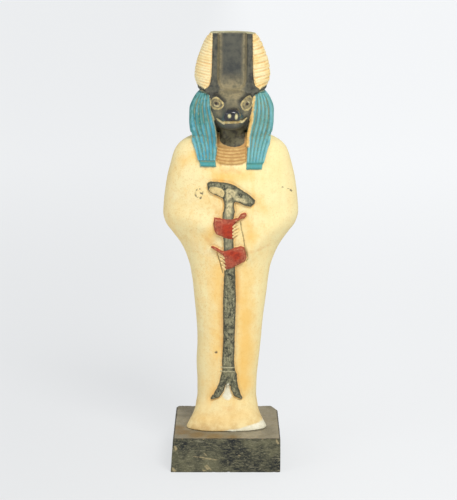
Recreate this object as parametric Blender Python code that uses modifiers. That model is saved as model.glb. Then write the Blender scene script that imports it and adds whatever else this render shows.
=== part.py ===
"""A small painted statuette of a jackal-headed god of ancient Egypt, wrapped as a mummy and holding a
long sceptre, on a separate dark plinth. The origin is the middle of the plinth's underside, and the
figure faces -Y.

The figure is one carved piece. Its carving is laid out on a grid of 220 units from the sole to the
flat top of the ears, so a grid unit is 1 mm at the real size.
"""

import math

import bmesh
import bpy
from mathutils import Vector

# Driving sizes, in metres
FIGURE_HEIGHT = 0.220
PLINTH_WIDTH = 0.0610
PLINTH_DEPTH = 0.0615
PLINTH_HEIGHT = 0.0197
PLINTH_TAPER = {-1: 0.0015, 1: 0.0}
PLINTH_EDGE = 0.0005
CHIPPED_CORNER = (0.0036, 0.0090)
SEAT_GAP = 0.0003

# The figure's layout, in grid units
GRID_ROWS = 220
GRID = FIGURE_HEIGHT / GRID_ROWS
FIGURE_TOP = GRID_ROWS
MIDDLE_LINE = (
    (0, 0.5), (20, 0.75), (33, 1.0), (52, 2.15), (80, 2.6),
    (120, 2.85), (150, 3.15), (175, 3.35), (195, 3.75), (220, 3.9),
)
SINK = 2.5

# Height, half width, reach to the front, reach to the back, and squareness of the wrapped body
SHROUD = (
    (0.0, 23.0, 20.0, 17.5, 7.0),
    (1.5, 22.4, 19.8, 17.5, 6.6),
    (3.5, 21.2, 18.4, 17.0, 5.6),
    (6.5, 19.6, 16.0, 16.4, 4.4),
    (10.0, 18.1, 13.6, 15.8, 3.4),
    (13.0, 17.3, 12.0, 15.4, 2.8),
    (17.0, 16.8, 10.9, 15.2, 2.5),
    (26.0, 16.9, 10.4, 15.0, 2.5),
    (36.0, 17.6, 10.8, 15.0, 2.4),
    (47.0, 17.9, 11.3, 15.2, 2.4),
    (62.0, 18.9, 12.3, 15.8, 2.4),
    (76.0, 20.4, 13.4, 16.6, 2.4),
    (90.0, 22.3, 14.6, 17.4, 2.4),
    (98.0, 24.8, 15.8, 17.4, 2.35),
    (104.0, 27.7, 17.0, 17.2, 2.3),
    (110.0, 32.0, 18.0, 17.0, 2.3),
    (116.0, 36.2, 18.7, 17.0, 2.3),
    (121.5, 37.5, 19.0, 17.0, 2.3),
    (131.0, 36.8, 19.2, 17.4, 2.3),
    (141.0, 35.3, 18.8, 18.0, 2.3),
    (150.0, 33.1, 17.4, 18.2, 2.3),
    (156.0, 31.2, 15.6, 17.8, 2.3),
    (160.0, 28.3, 13.8, 17.0, 2.2),
    (162.5, 24.6, 12.2, 16.0, 2.2),
    (164.5, 20.0, 10.4, 14.6, 2.2),
    (166.0, 14.0, 8.5, 12.0, 2.2),
)
SHROUD_HEIGHTS = (
    0, 1.2, 3.5, 6.5, 9.5, 13, 18, 28, 40, 52, 66, 78, 88, 95, 100, 104, 108, 111.5, 115, 118.5,
    124, 131, 139, 147, 153, 157, 160, 162.3, 164.3, 166,
)
SHROUD_SIDES = 36

# The feet by height: how far the toes are bowed, and how much narrower the heels are, as shares
FEET = ((0.0, 0.27, 0.22), (6.5, 0.16, 0.14), (13.0, 0.0, 0.0))
HEELS_START = -10.0

# Each forearm under the cloth: elbow, wrist, reach round its line, and how far it stands out
FOREARMS = (
    ((-33.0, 122.0), (-8.0, 115.0), 8.0, 1.2),
    ((33.0, 121.0), (9.0, 100.0), 8.0, 1.2),
)

# The wig's outer skin, as the wrapped body's stations, and its strands
WIG = (
    (158.0, 20.0, 12.2, 16.8, 2.4),
    (162.0, 21.3, 13.2, 18.2, 2.4),
    (166.0, 22.4, 13.2, 19.0, 2.5),
    (172.0, 22.9, 12.9, 19.2, 2.5),
    (178.0, 22.9, 12.2, 19.0, 2.5),
    (184.0, 21.0, 10.8, 18.2, 2.5),
    (187.5, 19.0, 9.2, 16.6, 2.4),
    (190.6, 14.5, 6.8, 13.4, 2.3),
    (192.2, 10.0, 4.8, 10.0, 2.3),
)
HOOD_HEIGHTS = (158, 164, 170, 177, 183, 187.5, 190.0, 192.2)
HOOD_STRANDS = 30
STRAND_DEPTH = 0.7
LAPPET_STRANDS = 6
LAPPET_HEIGHTS = (155, 161, 165.5, 170, 176, 182, 187)
STRANDS_TURN = 0.6
STRANDS_TURN_OVER = (160.0, 168.0)
LAPPET_BOTTOMS = {-1: 148.2, 1: 146.6}
LAPPET_HEM = 3.0
HEM_STEP = 0.3
LAPPET_PROUD = 1.9
LAPPET_EDGES = (
    (146.5, 8.2, 17.1),
    (153.5, 8.5, 18.4),
    (160.0, 8.8, 20.2),
    (165.0, 9.1, 22.0),
    (170.0, 10.0, 22.9),
    (174.0, 10.9, 23.1),
    (178.0, 11.5, 22.9),
    (184.0, 12.0, 21.1),
    (188.0, 12.2, 18.8),
)
BACK_FALL_HALF_WIDTH = 15.0
BACK_FALL_BOTTOM = 147.0
BACK_FALL_TOP = 168.0
BACK_FALL_PROUD = 1.4
BACK_FALL_STRANDS = 9

# The window that the wig leaves for the face and throat: height and half width
FACE_WINDOW = ((150.0, 7.9), (166.0, 8.6), (172.0, 9.8), (178.0, 11.1), (184.0, 11.8), (196.0, 12.0))
FACE_WINDOW_BACK = -5.0

# The head and the lower jaw from front to back: y, top, bottom, half width above and below, squareness
HEAD = (
    (-27.4, 179.4, 175.6, 2.4, 2.6, 2.6),
    (-26.6, 180.3, 174.4, 3.5, 4.1, 3.0),
    (-24.6, 180.9, 173.5, 3.9, 5.2, 3.4),
    (-21.0, 182.0, 173.5, 3.7, 6.7, 3.6),
    (-18.0, 183.4, 174.1, 4.1, 8.2, 3.6),
    (-15.6, 185.2, 174.6, 6.0, 9.3, 3.4),
    (-13.2, 187.0, 173.0, 9.6, 10.3, 3.4),
    (-10.5, 188.7, 171.0, 11.3, 11.0, 3.6),
    (-8.0, 189.8, 168.0, 12.3, 11.7, 3.4),
    (-5.0, 190.8, 166.0, 13.0, 12.3, 3.6),
    (6.0, 190.8, 166.0, 13.0, 12.3, 3.6),
)
JAW = (
    (-25.4, 173.4, 171.3, 3.0, 2.2, 2.6),
    (-24.4, 173.9, 170.5, 4.4, 3.4, 3.0),
    (-21.0, 174.2, 169.8, 6.2, 4.8, 3.4),
    (-17.0, 175.0, 169.0, 7.9, 6.4, 3.4),
    (-13.0, 175.4, 168.0, 9.2, 7.8, 3.2),
    (-8.0, 175.4, 166.4, 10.0, 8.6, 3.0),
)
HEAD_SIDES = 24
JAW_SIDES = 20
NOSE = {"middle": (0.0, -26.3, 178.2), "radii": (3.7, 1.7, 2.2)}
BROWS = {"outer": (9.9, -11.9, 186.9), "inner": (4.0, -14.9, 184.0), "radii": (0.9, 1.1)}
EYE_MIDDLE = (8.2, -13.6, 182.6)
EYE_TURN = 0.50
EYE_RING = {"radius": 2.75, "tube": 0.6}
EYEBALL_RADII = (1.9, 1.3, 1.4)

# The throat, as the wrapped body's stations
THROAT = (
    (155.0, 7.2, 12.6, 10.0, 2.6),
    (160.0, 7.4, 12.4, 10.0, 2.6),
    (166.0, 7.8, 11.8, 10.0, 2.6),
    (172.0, 8.2, 11.6, 10.0, 2.6),
)

# The ears: height and half width of their outline, and the sizes of each one's plan
EAR_OUTLINE = (
    (186.8, 12.4),
    (187.4, 14.6),
    (188.4, 17.2),
    (189.6, 18.9),
    (191.5, 19.9),
    (194.0, 20.5),
    (197.0, 20.9),
    (200.0, 20.7),
    (203.0, 20.2),
    (206.0, 19.4),
    (209.0, 18.3),
    (212.0, 17.1),
    (215.0, 15.8),
    (218.0, 13.9),
    (220.0, 12.0),
)
EAR_INNER = 7.7
EAR_BAR = 10.9
EAR_GROOVE = 0.2
EAR_FRONT = 9.4
EAR_BACK = 11.8
EAR_RIBS = 18
EAR_RIB_DEPTH = 0.35
EAR_RIB_RISE = 1.8
# The turn of an ear's ribbed front: share of its swell, y as a share of its reach, share of the rise
EAR_TURN = ((0.06, -0.86, 0.0), (0.42, -0.74, 0.35), (0.80, -0.42, 0.8), (1.00, 0.05, 1.0))
EAR_TURN_BACK = ((0.86, 0.62), (0.40, 0.94))

# The web of stone left standing between the ears, with a shallow trough in its front
WEB = ((184.0, 9.2), (188.0, 9.0), (190.5, 8.6), (193.0, 8.0), (197.0, 7.6), (203.0, 7.3), (220.0, 7.3))
WEB_HALF_WIDTH = EAR_INNER + 1
WEB_TROUGH = 0.9
WEB_BACK = 10.4

# Carving in low relief on the front of the body
COLLAR_ROWS = 5
COLLAR_TOP = 156.7
COLLAR_PITCH = 1.7
COLLAR_HALF_WIDTH = 7.4
COLLAR_RELIEF = 0.5
SCEPTRE_RELIEF = 1.3
HAND_RELIEF = 2.4
FINGER_RELIEF = 2.0

# Strokes of the sceptre: name, relief, and points of x, height and half width
SCEPTRE = (
    ("staff", SCEPTRE_RELIEF, (
        (-1.0, 133.5, 2.6), (-1.2, 126.0, 2.9), (-1.5, 117.0, 3.0), (-1.0, 105.0, 2.8),
        (-0.3, 89.0, 3.1), (-0.3, 74.0, 3.5), (-0.1, 51.0, 3.2), (0.3, 36.0, 3.6), (0.8, 26.0, 2.8),
    )),
    ("crest", SCEPTRE_RELIEF, (
        (-12.6, 138.7, 1.4), (-10.4, 137.6, 2.9), (-6.4, 136.7, 3.7), (-1.0, 135.4, 4.1),
        (4.0, 133.0, 3.8), (8.2, 131.0, 3.1), (12.0, 128.8, 2.2),
    )),
    ("left_tine", SCEPTRE_RELIEF, (
        (-1.2, 35.6, 1.6), (-1.9, 32.0, 1.8), (-2.5, 26.5, 1.8),
        (-3.5, 22.0, 2.1), (-5.4, 18.8, 1.9), (-8.4, 16.6, 0.8),
    )),
    ("right_tine", SCEPTRE_RELIEF, (
        (2.4, 35.6, 1.6), (3.6, 32.0, 1.9), (3.8, 27.0, 2.0),
        (4.3, 22.6, 2.2), (5.7, 19.2, 1.9), (8.3, 16.7, 0.8),
    )),
)
# Strokes of the two hands: the upper one comes from the figure's right, the lower one from its left
HANDS = (
    ("upper_palm", HAND_RELIEF, (
        (-9.0, 116.2, 4.6), (-6.0, 115.7, 5.2), (-2.0, 115.3, 5.6), (2.0, 115.2, 5.7),
    )),
    ("upper_thumb", FINGER_RELIEF, (
        (1.6, 119.4, 1.2), (4.6, 120.2, 1.0), (6.6, 121.8, 1.5), (8.2, 123.3, 1.0),
    )),
    ("lower_palm", HAND_RELIEF, (
        (-3.6, 96.4, 4.9), (1.4, 97.8, 5.6), (5.8, 99.7, 5.5), (8.8, 100.4, 4.2),
    )),
    ("lower_thumb", FINGER_RELIEF, (
        (-2.6, 101.4, 1.3), (-5.6, 102.0, 1.2), (-8.5, 103.2, 1.0), (-10.2, 104.2, 0.6),
    )),
)
FINGERS = 4
FINGER_HALF_WIDTH = 1.0
UPPER_FINGERS = {"root": (1.0, 118.0), "step": (0.0, -2.4), "reach": (3.4, 0.5), "gain": 0.0}
LOWER_FINGERS = {"root": (-2.6, 100.0), "step": (0.3, -2.5), "reach": (-4.0, 0.9), "gain": 0.4}


def profile(stations, at):
    """The values of a table of stations at one height, on a curve that never overshoots them."""
    heights = [row[0] for row in stations]
    at = min(max(at, heights[0]), heights[-1])
    low = max(i for i, height in enumerate(heights[:-1]) if height <= at)
    step = heights[low + 1] - heights[low]
    t = (at - heights[low]) / step

    def slope(column, index):
        if index in (0, len(stations) - 1):
            return 0.0
        before = (stations[index][column] - stations[index - 1][column]) / (heights[index] - heights[index - 1])
        after = (stations[index + 1][column] - stations[index][column]) / (heights[index + 1] - heights[index])
        if before * after <= 0:
            return 0.0
        return 2 * before * after / (before + after)

    found = []
    for column in range(1, len(stations[0])):
        start, end = stations[low][column], stations[low + 1][column]
        out, into = slope(column, low) * step, slope(column, low + 1) * step
        found.append(
            (2 * t**3 - 3 * t**2 + 1) * start
            + (t**3 - 2 * t**2 + t) * out
            + (3 * t**2 - 2 * t**3) * end
            + (t**3 - t**2) * into
        )
    return found


def place(x, y, z):
    """A point of the figure's grid, in metres. The carving's middle line leans to the figure's left."""
    return Vector((x + profile(MIDDLE_LINE, z)[0], y, z)) * GRID + Vector((0, 0, PLINTH_HEIGHT + SEAT_GAP))


def power(value, exponent):
    return math.copysign(abs(value) ** exponent, value)


def skin_at(stations, x, z, facing):
    """The y of a rounded skin at x, at height z: its front for facing -1, its back for 1."""
    half, front, back, square = profile(stations, z)
    share = min(abs(x) / half, 1.0)
    return facing * (back if facing > 0 else front) * (1 - share**square) ** (1 / square)


def wig_front(x, z):
    """The y of the wig's front, which stands proud of the chest wherever it falls over it."""
    return min(skin_at(WIG, x, z, -1), skin_at(SHROUD, x, z, -1) - LAPPET_PROUD)


def wig_back(x, z):
    return max(skin_at(WIG, x, z, 1), skin_at(SHROUD, x, z, 1) + BACK_FALL_PROUD)


def forearm_rise(x, z):
    """How far the forearms lift the cloth over them."""
    rise = 0.0
    for elbow, wrist, reach, lift in FOREARMS:
        start, end, here = Vector(elbow), Vector(wrist), Vector((x, z))
        along = end - start
        t = min(max((here - start).dot(along) / along.length_squared, 0.0), 1.0)
        near = max(0.0, 1 - (here - start - along * t).length / reach)
        rise = max(rise, lift * near * near * (3 - 2 * near))
    return rise


def shroud_front(x, z):
    half = profile(SHROUD, z)[0]
    fade = max(0.0, 1 - (abs(x) / half) ** 4)
    return skin_at(SHROUD, x, z, -1) - forearm_rise(x, z) * fade


def footed(x, y, z):
    """A point of the wrapped body's plan, bowed at the toes and narrowed at the heels near the sole."""
    half, _, back, _ = profile(SHROUD, z)
    bow, narrowing = profile(FEET, z)
    if y < 0:
        y *= 1 - bow * (x / half) ** 2
    return x * (1 - narrowing * max(0.0, (y - HEELS_START) / (back - HEELS_START))), y


def ring_of(stations, z, sides):
    """A level ring of a rounded skin, from its right side round the back."""
    half, front, back, square = profile(stations, z)
    points = []
    for i in range(sides):
        turn = 2 * math.pi * i / sides
        reach = back if math.sin(turn) > 0 else front
        points.append([half * power(math.cos(turn), 2 / square), reach * power(math.sin(turn), 2 / square)])
    return points


def loft(name, rings):
    """A closed mesh through rings of as many points each, capped at both ends."""
    mesh = bpy.data.meshes.new(name)
    work = bmesh.new()
    rows = [[work.verts.new(place(*point)) for point in ring] for ring in rings]
    count = len(rows[0])
    for low, high in zip(rows, rows[1:]):
        for i in range(count):
            work.faces.new((low[i], low[(i + 1) % count], high[(i + 1) % count], high[i]))
    for end in (rows[0], rows[-1]):
        work.faces.new(end)
    bmesh.ops.recalc_face_normals(work, faces=work.faces)
    work.to_mesh(mesh)
    work.free()
    return bpy.data.objects.new(name, mesh)


def ball(name, middle, radii, turn=0.0, columns=12, rows=8):
    """An egg-shaped lump, turned about the upright axis."""
    mesh = bpy.data.meshes.new(name)
    work = bmesh.new()
    bmesh.ops.create_uvsphere(work, u_segments=columns, v_segments=rows, radius=1)
    for vertex in work.verts:
        x, y, z = (vertex.co[i] * radii[i] for i in range(3))
        vertex.co = place(
            middle[0] + x * math.cos(turn) - y * math.sin(turn),
            middle[1] + x * math.sin(turn) + y * math.cos(turn),
            middle[2] + z,
        )
    work.to_mesh(mesh)
    work.free()
    return bpy.data.objects.new(name, mesh)


def shroud():
    """The wrapped body with its feet, elbows and shoulders."""
    rings = []
    for z in SHROUD_HEIGHTS:
        ring = []
        half = profile(SHROUD, z)[0]
        for x, y in ring_of(SHROUD, z, SHROUD_SIDES):
            fade = max(0.0, 1 - (abs(x) / half) ** 4)
            lift = forearm_rise(x, z) * fade if y < 0 else 0.0
            x, y = footed(x, y, z)
            ring.append((x, y - lift, z))
        rings.append(ring)
    return loft("shroud", rings)


def hood():
    """The wig round the head, in upright strands, before the face is let in."""
    sides = 2 * HOOD_STRANDS
    rings = []
    for z in HOOD_HEIGHTS:
        ring = []
        for i, (x, y) in enumerate(ring_of(WIG, z, sides)):
            depth = 0.0 if i % 2 else STRAND_DEPTH
            share = 1 - depth / math.hypot(x, y)
            ring.append((x * share, y * share, z))
        rings.append(ring)
    return loft("hood", rings)


def face_window():
    """The cutter that lets the face and throat into the wig."""
    front = 2 * HEAD[0][0]
    rings = []
    for z, half in FACE_WINDOW:
        corners = ((-half, front), (half, front), (half, FACE_WINDOW_BACK), (-half, FACE_WINDOW_BACK))
        rings.append([(x, y, z) for x, y in corners])
    return loft("face_window", rings)


def strand_profile(strands):
    """Places across a band of strands from -1 to 1, each with how far it is cut in."""
    steps = 2 * strands
    return [(2 * i / steps - 1, 0.0 if i % 2 else STRAND_DEPTH) for i in range(steps + 1)]


def lappet(side):
    """The front of the wig on one side, from under the ear down over the chest to a plain hem."""
    bottom = LAPPET_BOTTOMS[side]
    hem_top = bottom + LAPPET_HEM
    rings = []
    for z in (bottom, hem_top - HEM_STEP, hem_top + HEM_STEP) + LAPPET_HEIGHTS:
        inner, outer = profile(LAPPET_EDGES, z)
        low, high = STRANDS_TURN_OVER
        turned = STRANDS_TURN * min(max((z - low) / (high - low), 0.0), 1.0)
        back = wig_front(inner, z) + 2 * SINK
        ring = []
        for across, cut in strand_profile(LAPPET_STRANDS):
            share = (across + 1) / 2
            share += turned * (math.sin(share * math.pi / 2) - share)
            x = inner + share * (outer - inner)
            cut = 0.0 if z < hem_top else cut
            ring.append((side * x, min(wig_front(x, z) + cut, back - 0.5), z))
        ring += [(side * x, back, z) for x in (outer - 0.6, (inner + outer) / 2, inner)]
        rings.append(ring)
    return loft("lappet", rings)


def back_fall():
    """The wig's fall over the shoulder blades."""
    rings = []
    for z in (BACK_FALL_BOTTOM, 154, 159, 163, BACK_FALL_TOP):
        back = wig_back(0, z)
        ring = []
        for across, cut in strand_profile(BACK_FALL_STRANDS):
            x = across * BACK_FALL_HALF_WIDTH
            ring.append((x, wig_back(x, z) - cut, z))
        for x in (BACK_FALL_HALF_WIDTH, 0, -BACK_FALL_HALF_WIDTH):
            ring.append((x, back - 3 * SINK, z))
        rings.append(ring)
    return loft("back_fall", rings)


def muzzle(name, stations, sides):
    """A level lump from front to back, whose half width changes evenly from its top to its bottom."""
    rings = []
    for y, high, low, upper, lower, square in stations:
        middle, rise = (low + high) / 2, (high - low) / 2
        ring = []
        for i in range(sides):
            turn = 2 * math.pi * (i + 0.5) / sides
            up = power(math.sin(turn), 2 / square)
            half = lower + (upper - lower) * (up + 1) / 2
            ring.append((half * power(math.cos(turn), 2 / square), y, middle + rise * up))
        rings.append(ring)
    return loft(name, rings)


def brow(side):
    """The ridge over one eye, running down towards the nose."""
    ends = [Vector((side * x, y, z)) for x, y, z in (BROWS["outer"], BROWS["inner"])]
    along = (ends[1] - ends[0]).normalized()
    across = along.cross(Vector((0, 1, 0))).normalized()
    out = across.cross(along)
    rings = []
    for end, radius in zip(ends, BROWS["radii"]):
        turns = [2 * math.pi * i / 8 for i in range(8)]
        rings.append([tuple(end + radius * (across * math.cos(a) + out * math.sin(a))) for a in turns])
    return loft("brow", rings)


def throat():
    return loft("throat", [[(x, y, row[0]) for x, y in ring_of(THROAT, row[0], 20)] for row in THROAT])


def eye(side):
    """The carved ring round an eye, and the eyeball in it."""
    middle = (side * EYE_MIDDLE[0], EYE_MIDDLE[1], EYE_MIDDLE[2])
    turn = side * EYE_TURN
    around, sides = 14, 6
    mesh = bpy.data.meshes.new("eye_ring")
    work = bmesh.new()
    rows = []
    for i in range(around):
        sweep = 2 * math.pi * i / around
        row = []
        for j in range(sides):
            curl = 2 * math.pi * j / sides
            out = EYE_RING["radius"] + EYE_RING["tube"] * math.cos(curl)
            x, y, z = out * math.cos(sweep), EYE_RING["tube"] * math.sin(curl), out * math.sin(sweep)
            x, y = x * math.cos(turn) - y * math.sin(turn), x * math.sin(turn) + y * math.cos(turn)
            row.append(work.verts.new(place(middle[0] + x, middle[1] + y, middle[2] + z)))
        rows.append(row)
    for i in range(around):
        here, after = rows[i], rows[(i + 1) % around]
        for j in range(sides):
            work.faces.new((here[j], after[j], after[(j + 1) % sides], here[(j + 1) % sides]))
    bmesh.ops.recalc_face_normals(work, faces=work.faces)
    work.to_mesh(mesh)
    work.free()
    ring = bpy.data.objects.new("eye_ring", mesh)
    return [ring, ball("eyeball", middle, EYEBALL_RADII, turn, columns=10, rows=6)]


def ear(side):
    """An upright ear: a plain bar along its inner edge, and ribbed hair that turns round its outer edge."""
    lowest = EAR_OUTLINE[0][0]
    pitch = (FIGURE_TOP - lowest) / (2 * EAR_RIBS)
    rings = []
    for i in range(2 * EAR_RIBS + 1):
        z = lowest + i * pitch
        outer = profile(EAR_OUTLINE, z)[0]
        rib = 0.0 if i % 2 else EAR_RIB_DEPTH
        hair = EAR_BAR + EAR_GROOVE
        swell = outer - hair
        share = 1 - rib / outer
        ring = [(EAR_INNER, -EAR_FRONT, z), (EAR_BAR, -EAR_FRONT, z)]
        for across, y, rise in EAR_TURN:
            lift = min(rise * EAR_RIB_RISE, FIGURE_TOP - z)
            ring.append(((hair + swell * across) * share, y * EAR_FRONT + rib, z + lift))
        ring += [(hair + swell * across, y * EAR_BACK, z) for across, y in EAR_TURN_BACK]
        ring.append((EAR_INNER, EAR_BACK, z))
        rings.append([(side * x, y, z) for x, y, z in ring])
    return loft("ear", rings)


def web():
    """The web between the ears, running down into the forehead."""
    rings = []
    for z, front in WEB:
        ring = []
        for share in (-1.0, -0.85, -0.5, 0.0, 0.5, 0.85, 1.0):
            ring.append((WEB_HALF_WIDTH * share, -front - WEB_TROUGH * (abs(share) - 0.5), z))
        ring += [(WEB_HALF_WIDTH, WEB_BACK, z), (-WEB_HALF_WIDTH, WEB_BACK, z)]
        rings.append(ring)
    return loft("web", rings)


def band(name, points, relief, across=(-1.0, -0.8, 0.0, 0.8, 1.0), steps=3):
    """A stroke in low relief along points of x, height and half width, following the cloth."""
    line = []
    for here, after in zip(points, points[1:]):
        line += [[a + (b - a) * k / steps for a, b in zip(here, after)] for k in range(steps)]
    line.append(list(points[-1]))
    rings = []
    for i, (x, z, half) in enumerate(line):
        before, after = line[max(i - 1, 0)], line[min(i + 1, len(line) - 1)]
        way = Vector((after[0] - before[0], after[1] - before[1])).normalized()
        side = Vector((way.y, -way.x))
        top, under = [], []
        for share in across:
            px, pz = x + side.x * share * half, z + side.y * share * half
            crown = relief * (0.55 if abs(share) == 1 else 0.92 if share else 1.0)
            top.append((px, shroud_front(px, pz) - crown, pz))
            if abs(share) == 1:
                under.append((px, shroud_front(px, pz) + SINK, pz))
        rings.append(top + under[::-1])
    return loft(name, rings)


def fingers(row):
    """Four finger ends side by side, wrapped round the staff."""
    made = []
    for i in range(FINGERS):
        x, z = row["root"][0] + i * row["step"][0], row["root"][1] + i * row["step"][1]
        reach, rise = row["reach"][0] + i * row["gain"], row["reach"][1]
        points = ((x, z, FINGER_HALF_WIDTH), (x + reach, z + rise, 0.8 * FINGER_HALF_WIDTH))
        made.append(band("finger", points, FINGER_RELIEF, across=(-1.0, 0.0, 1.0), steps=2))
    return made


def collar():
    """The rows of the collar between the lappets."""
    made = []
    for i in range(COLLAR_ROWS):
        z = COLLAR_TOP - i * COLLAR_PITCH
        half = COLLAR_PITCH * 0.36
        points = ((-COLLAR_HALF_WIDTH, z + 0.5, half), (0.0, z - 0.3, half), (COLLAR_HALF_WIDTH, z + 0.5, half))
        made.append(band("collar_row", points, COLLAR_RELIEF, across=(-1.0, 0.0, 1.0), steps=2))
    return made


def material(name, colour, roughness):
    made = bpy.data.materials.new(name)
    made.use_nodes = True
    shader = made.node_tree.nodes["Principled BSDF"]
    shader.inputs["Base Color"].default_value = (*colour, 1)
    shader.inputs["Roughness"].default_value = roughness
    shader.inputs["Metallic"].default_value = 0.0
    return made


def helper(obj):
    obj.hide_render = True
    obj.display_type = "WIRE"


def boolean(obj, operation, collection):
    modifier = obj.modifiers.new(operation.title(), "BOOLEAN")
    modifier.operation = operation
    modifier.operand_type = "COLLECTION"
    modifier.collection = collection
    modifier.solver = "EXACT"


def evaluated(obj, name):
    """The object with its modifiers applied."""
    graph = bpy.context.evaluated_depsgraph_get()
    mesh = bpy.data.meshes.new_from_object(obj.evaluated_get(graph))
    mesh.name = name
    made = bpy.data.objects.new(name, mesh)
    bpy.data.objects.remove(obj)
    return made


def plinth():
    """A squared block, a little wider at its foot, with one back corner broken off."""
    mesh = bpy.data.meshes.new("plinth")
    work = bmesh.new()
    outline = [
        (-PLINTH_WIDTH / 2, -PLINTH_DEPTH / 2),
        (PLINTH_WIDTH / 2, -PLINTH_DEPTH / 2),
        (PLINTH_WIDTH / 2, PLINTH_DEPTH / 2 - CHIPPED_CORNER[1]),
        (PLINTH_WIDTH / 2 - CHIPPED_CORNER[0], PLINTH_DEPTH / 2),
        (-PLINTH_WIDTH / 2, PLINTH_DEPTH / 2),
    ]
    foot = work.faces.new([work.verts.new((x, y, 0)) for x, y in outline])
    raised = bmesh.ops.extrude_face_region(work, geom=[foot])
    for vertex in (item for item in raised["geom"] if isinstance(item, bmesh.types.BMVert)):
        vertex.co.z = PLINTH_HEIGHT
        vertex.co.x *= 1 - 2 * PLINTH_TAPER[-1 if vertex.co.x < 0 else 1] / PLINTH_WIDTH
    bmesh.ops.recalc_face_normals(work, faces=work.faces)
    work.to_mesh(mesh)
    work.free()
    made = bpy.data.objects.new("plinth", mesh)
    bevel = made.modifiers.new("worn edges", "BEVEL")
    bevel.width = PLINTH_EDGE
    bevel.segments = 2
    return made


def main():
    for obj in list(bpy.data.objects):
        bpy.data.objects.remove(obj)
    scene = bpy.context.scene.collection
    statuette = bpy.data.collections.new("jackal_headed_statuette")
    cutters = bpy.data.collections.new("face_cutters")
    blocks = bpy.data.collections.new("figure_blocks")
    for collection in (statuette, cutters, blocks):
        scene.children.link(collection)

    window = face_window()
    cutters.objects.link(window)
    helper(window)
    wig = hood()
    blocks.objects.link(wig)
    boolean(wig, "DIFFERENCE", cutters)
    wig = evaluated(wig, "hood")

    carved = [wig, back_fall(), muzzle("head", HEAD, HEAD_SIDES), muzzle("jaw", JAW, JAW_SIDES)]
    carved += [throat(), web(), ball("nose", **NOSE)]
    for side in (-1, 1):
        carved += [lappet(side), ear(side), brow(side)] + eye(side)
    carved += collar() + fingers(UPPER_FINGERS) + fingers(LOWER_FINGERS)
    carved += [band(name, points, relief) for name, relief, points in SCEPTRE + HANDS]
    for block in carved:
        blocks.objects.link(block)
        helper(block)

    figure = shroud()
    figure.name = "figure"
    statuette.objects.link(figure)
    boolean(figure, "UNION", blocks)
    figure.data.materials.append(material("painted stone", (0.80, 0.68, 0.45), 0.7))

    base = plinth()
    statuette.objects.link(base)
    base.data.materials.append(material("black paint", (0.07, 0.07, 0.06), 0.6))


main()
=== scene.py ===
"""The looks of a small carved and painted statuette: a jackal-headed god of ancient Egypt, wrapped as a
mummy, on a separate worn black plinth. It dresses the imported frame, in the frame's own metres."""

import math

import bmesh
import bpy
import numpy as np
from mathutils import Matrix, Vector, noise
from mathutils.bvhtree import BVHTree


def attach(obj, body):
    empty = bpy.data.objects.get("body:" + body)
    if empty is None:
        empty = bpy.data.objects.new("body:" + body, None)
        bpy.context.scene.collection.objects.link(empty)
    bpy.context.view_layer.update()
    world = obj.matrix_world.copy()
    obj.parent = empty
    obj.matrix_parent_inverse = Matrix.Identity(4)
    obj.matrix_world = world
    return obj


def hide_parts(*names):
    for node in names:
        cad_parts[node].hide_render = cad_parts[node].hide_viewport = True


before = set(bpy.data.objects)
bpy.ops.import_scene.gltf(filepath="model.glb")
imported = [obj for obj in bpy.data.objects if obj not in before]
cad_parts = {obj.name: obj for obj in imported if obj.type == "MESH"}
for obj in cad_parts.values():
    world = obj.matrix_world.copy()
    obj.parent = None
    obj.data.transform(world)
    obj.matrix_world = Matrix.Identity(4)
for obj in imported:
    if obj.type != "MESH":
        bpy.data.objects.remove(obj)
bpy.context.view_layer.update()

# --------------------------------------------------------------------------------------------------
# The plinth: a squared block of stone, sawn and rubbed flat, brushed with thin black paint that has
# worn through to the stone on its faces and edges. One back corner and many small flakes are lost.

MM = 0.001
PLINTH_WIDTH = 61.0
PLINTH_DEPTH = 61.5
PLINTH_HEIGHT = 19.7
PLINTH_TAPER = {-1: 1.5, 1: 0.0}
CHIPPED_CORNER = (3.6, 9.0)
WORN_CORNER = (1.4, 3.0)
PLINTH_VOXEL = 0.45
PLINTH_FLAKE = 0.55
# A distance that stands for outside every area
OUTSIDE = -9.0
# Where the figure's colour was smeared on the plinth's top: x, y and reach
PLINTH_SMEAR = (
    (-26.0, -12.0, 4.0), (-24.0, -19.0, 5.0), (-16.0, -24.0, 5.5), (-6.0, -27.0, 5.0), (4.0, -28.0, 3.0),
)
# Where the paint is knocked off the front: strokes of x, height and half width
PLINTH_SCRAPES = (
    ((-27.9, 15.2, 0.4), (-27.3, 13.8, 0.8), (-27.8, 12.8, 0.3)), ((-29.2, 2.4, 0.5), (-28.2, 0.9, 0.8)),
    ((-11.4, 3.6, 0.3), (-9.6, 1.9, 0.5)), ((-10.2, 4.2, 0.25), (-8.2, 1.6, 0.4)),
    ((-12.4, 1.2, 0.4), (-10.8, 0.9, 0.3)),
    ((-17.8, 9.3, 0.2), (-13.4, 8.9, 0.3), (-9.4, 8.2, 0.25)),
    ((-12.8, 7.6, 0.2), (-8.4, 7.9, 0.25), (-4.6, 7.2, 0.2)),
    ((-11.8, 11.4, 0.2), (-10.4, 9.6, 0.25)), ((28.2, 18.4, 0.5), (29.0, 16.8, 0.6)),
    ((7.2, 10.0, 0.3), (8.0, 9.8, 0.3)),
)


def painted(red, green, blue):
    """A colour on a scale of 255, turned into light."""
    shares = [value / 255 for value in (red, green, blue)]
    return tuple(s / 12.92 if s <= 0.04045 else ((s + 0.055) / 1.055) ** 2.4 for s in shares) + (1.0,)


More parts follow.
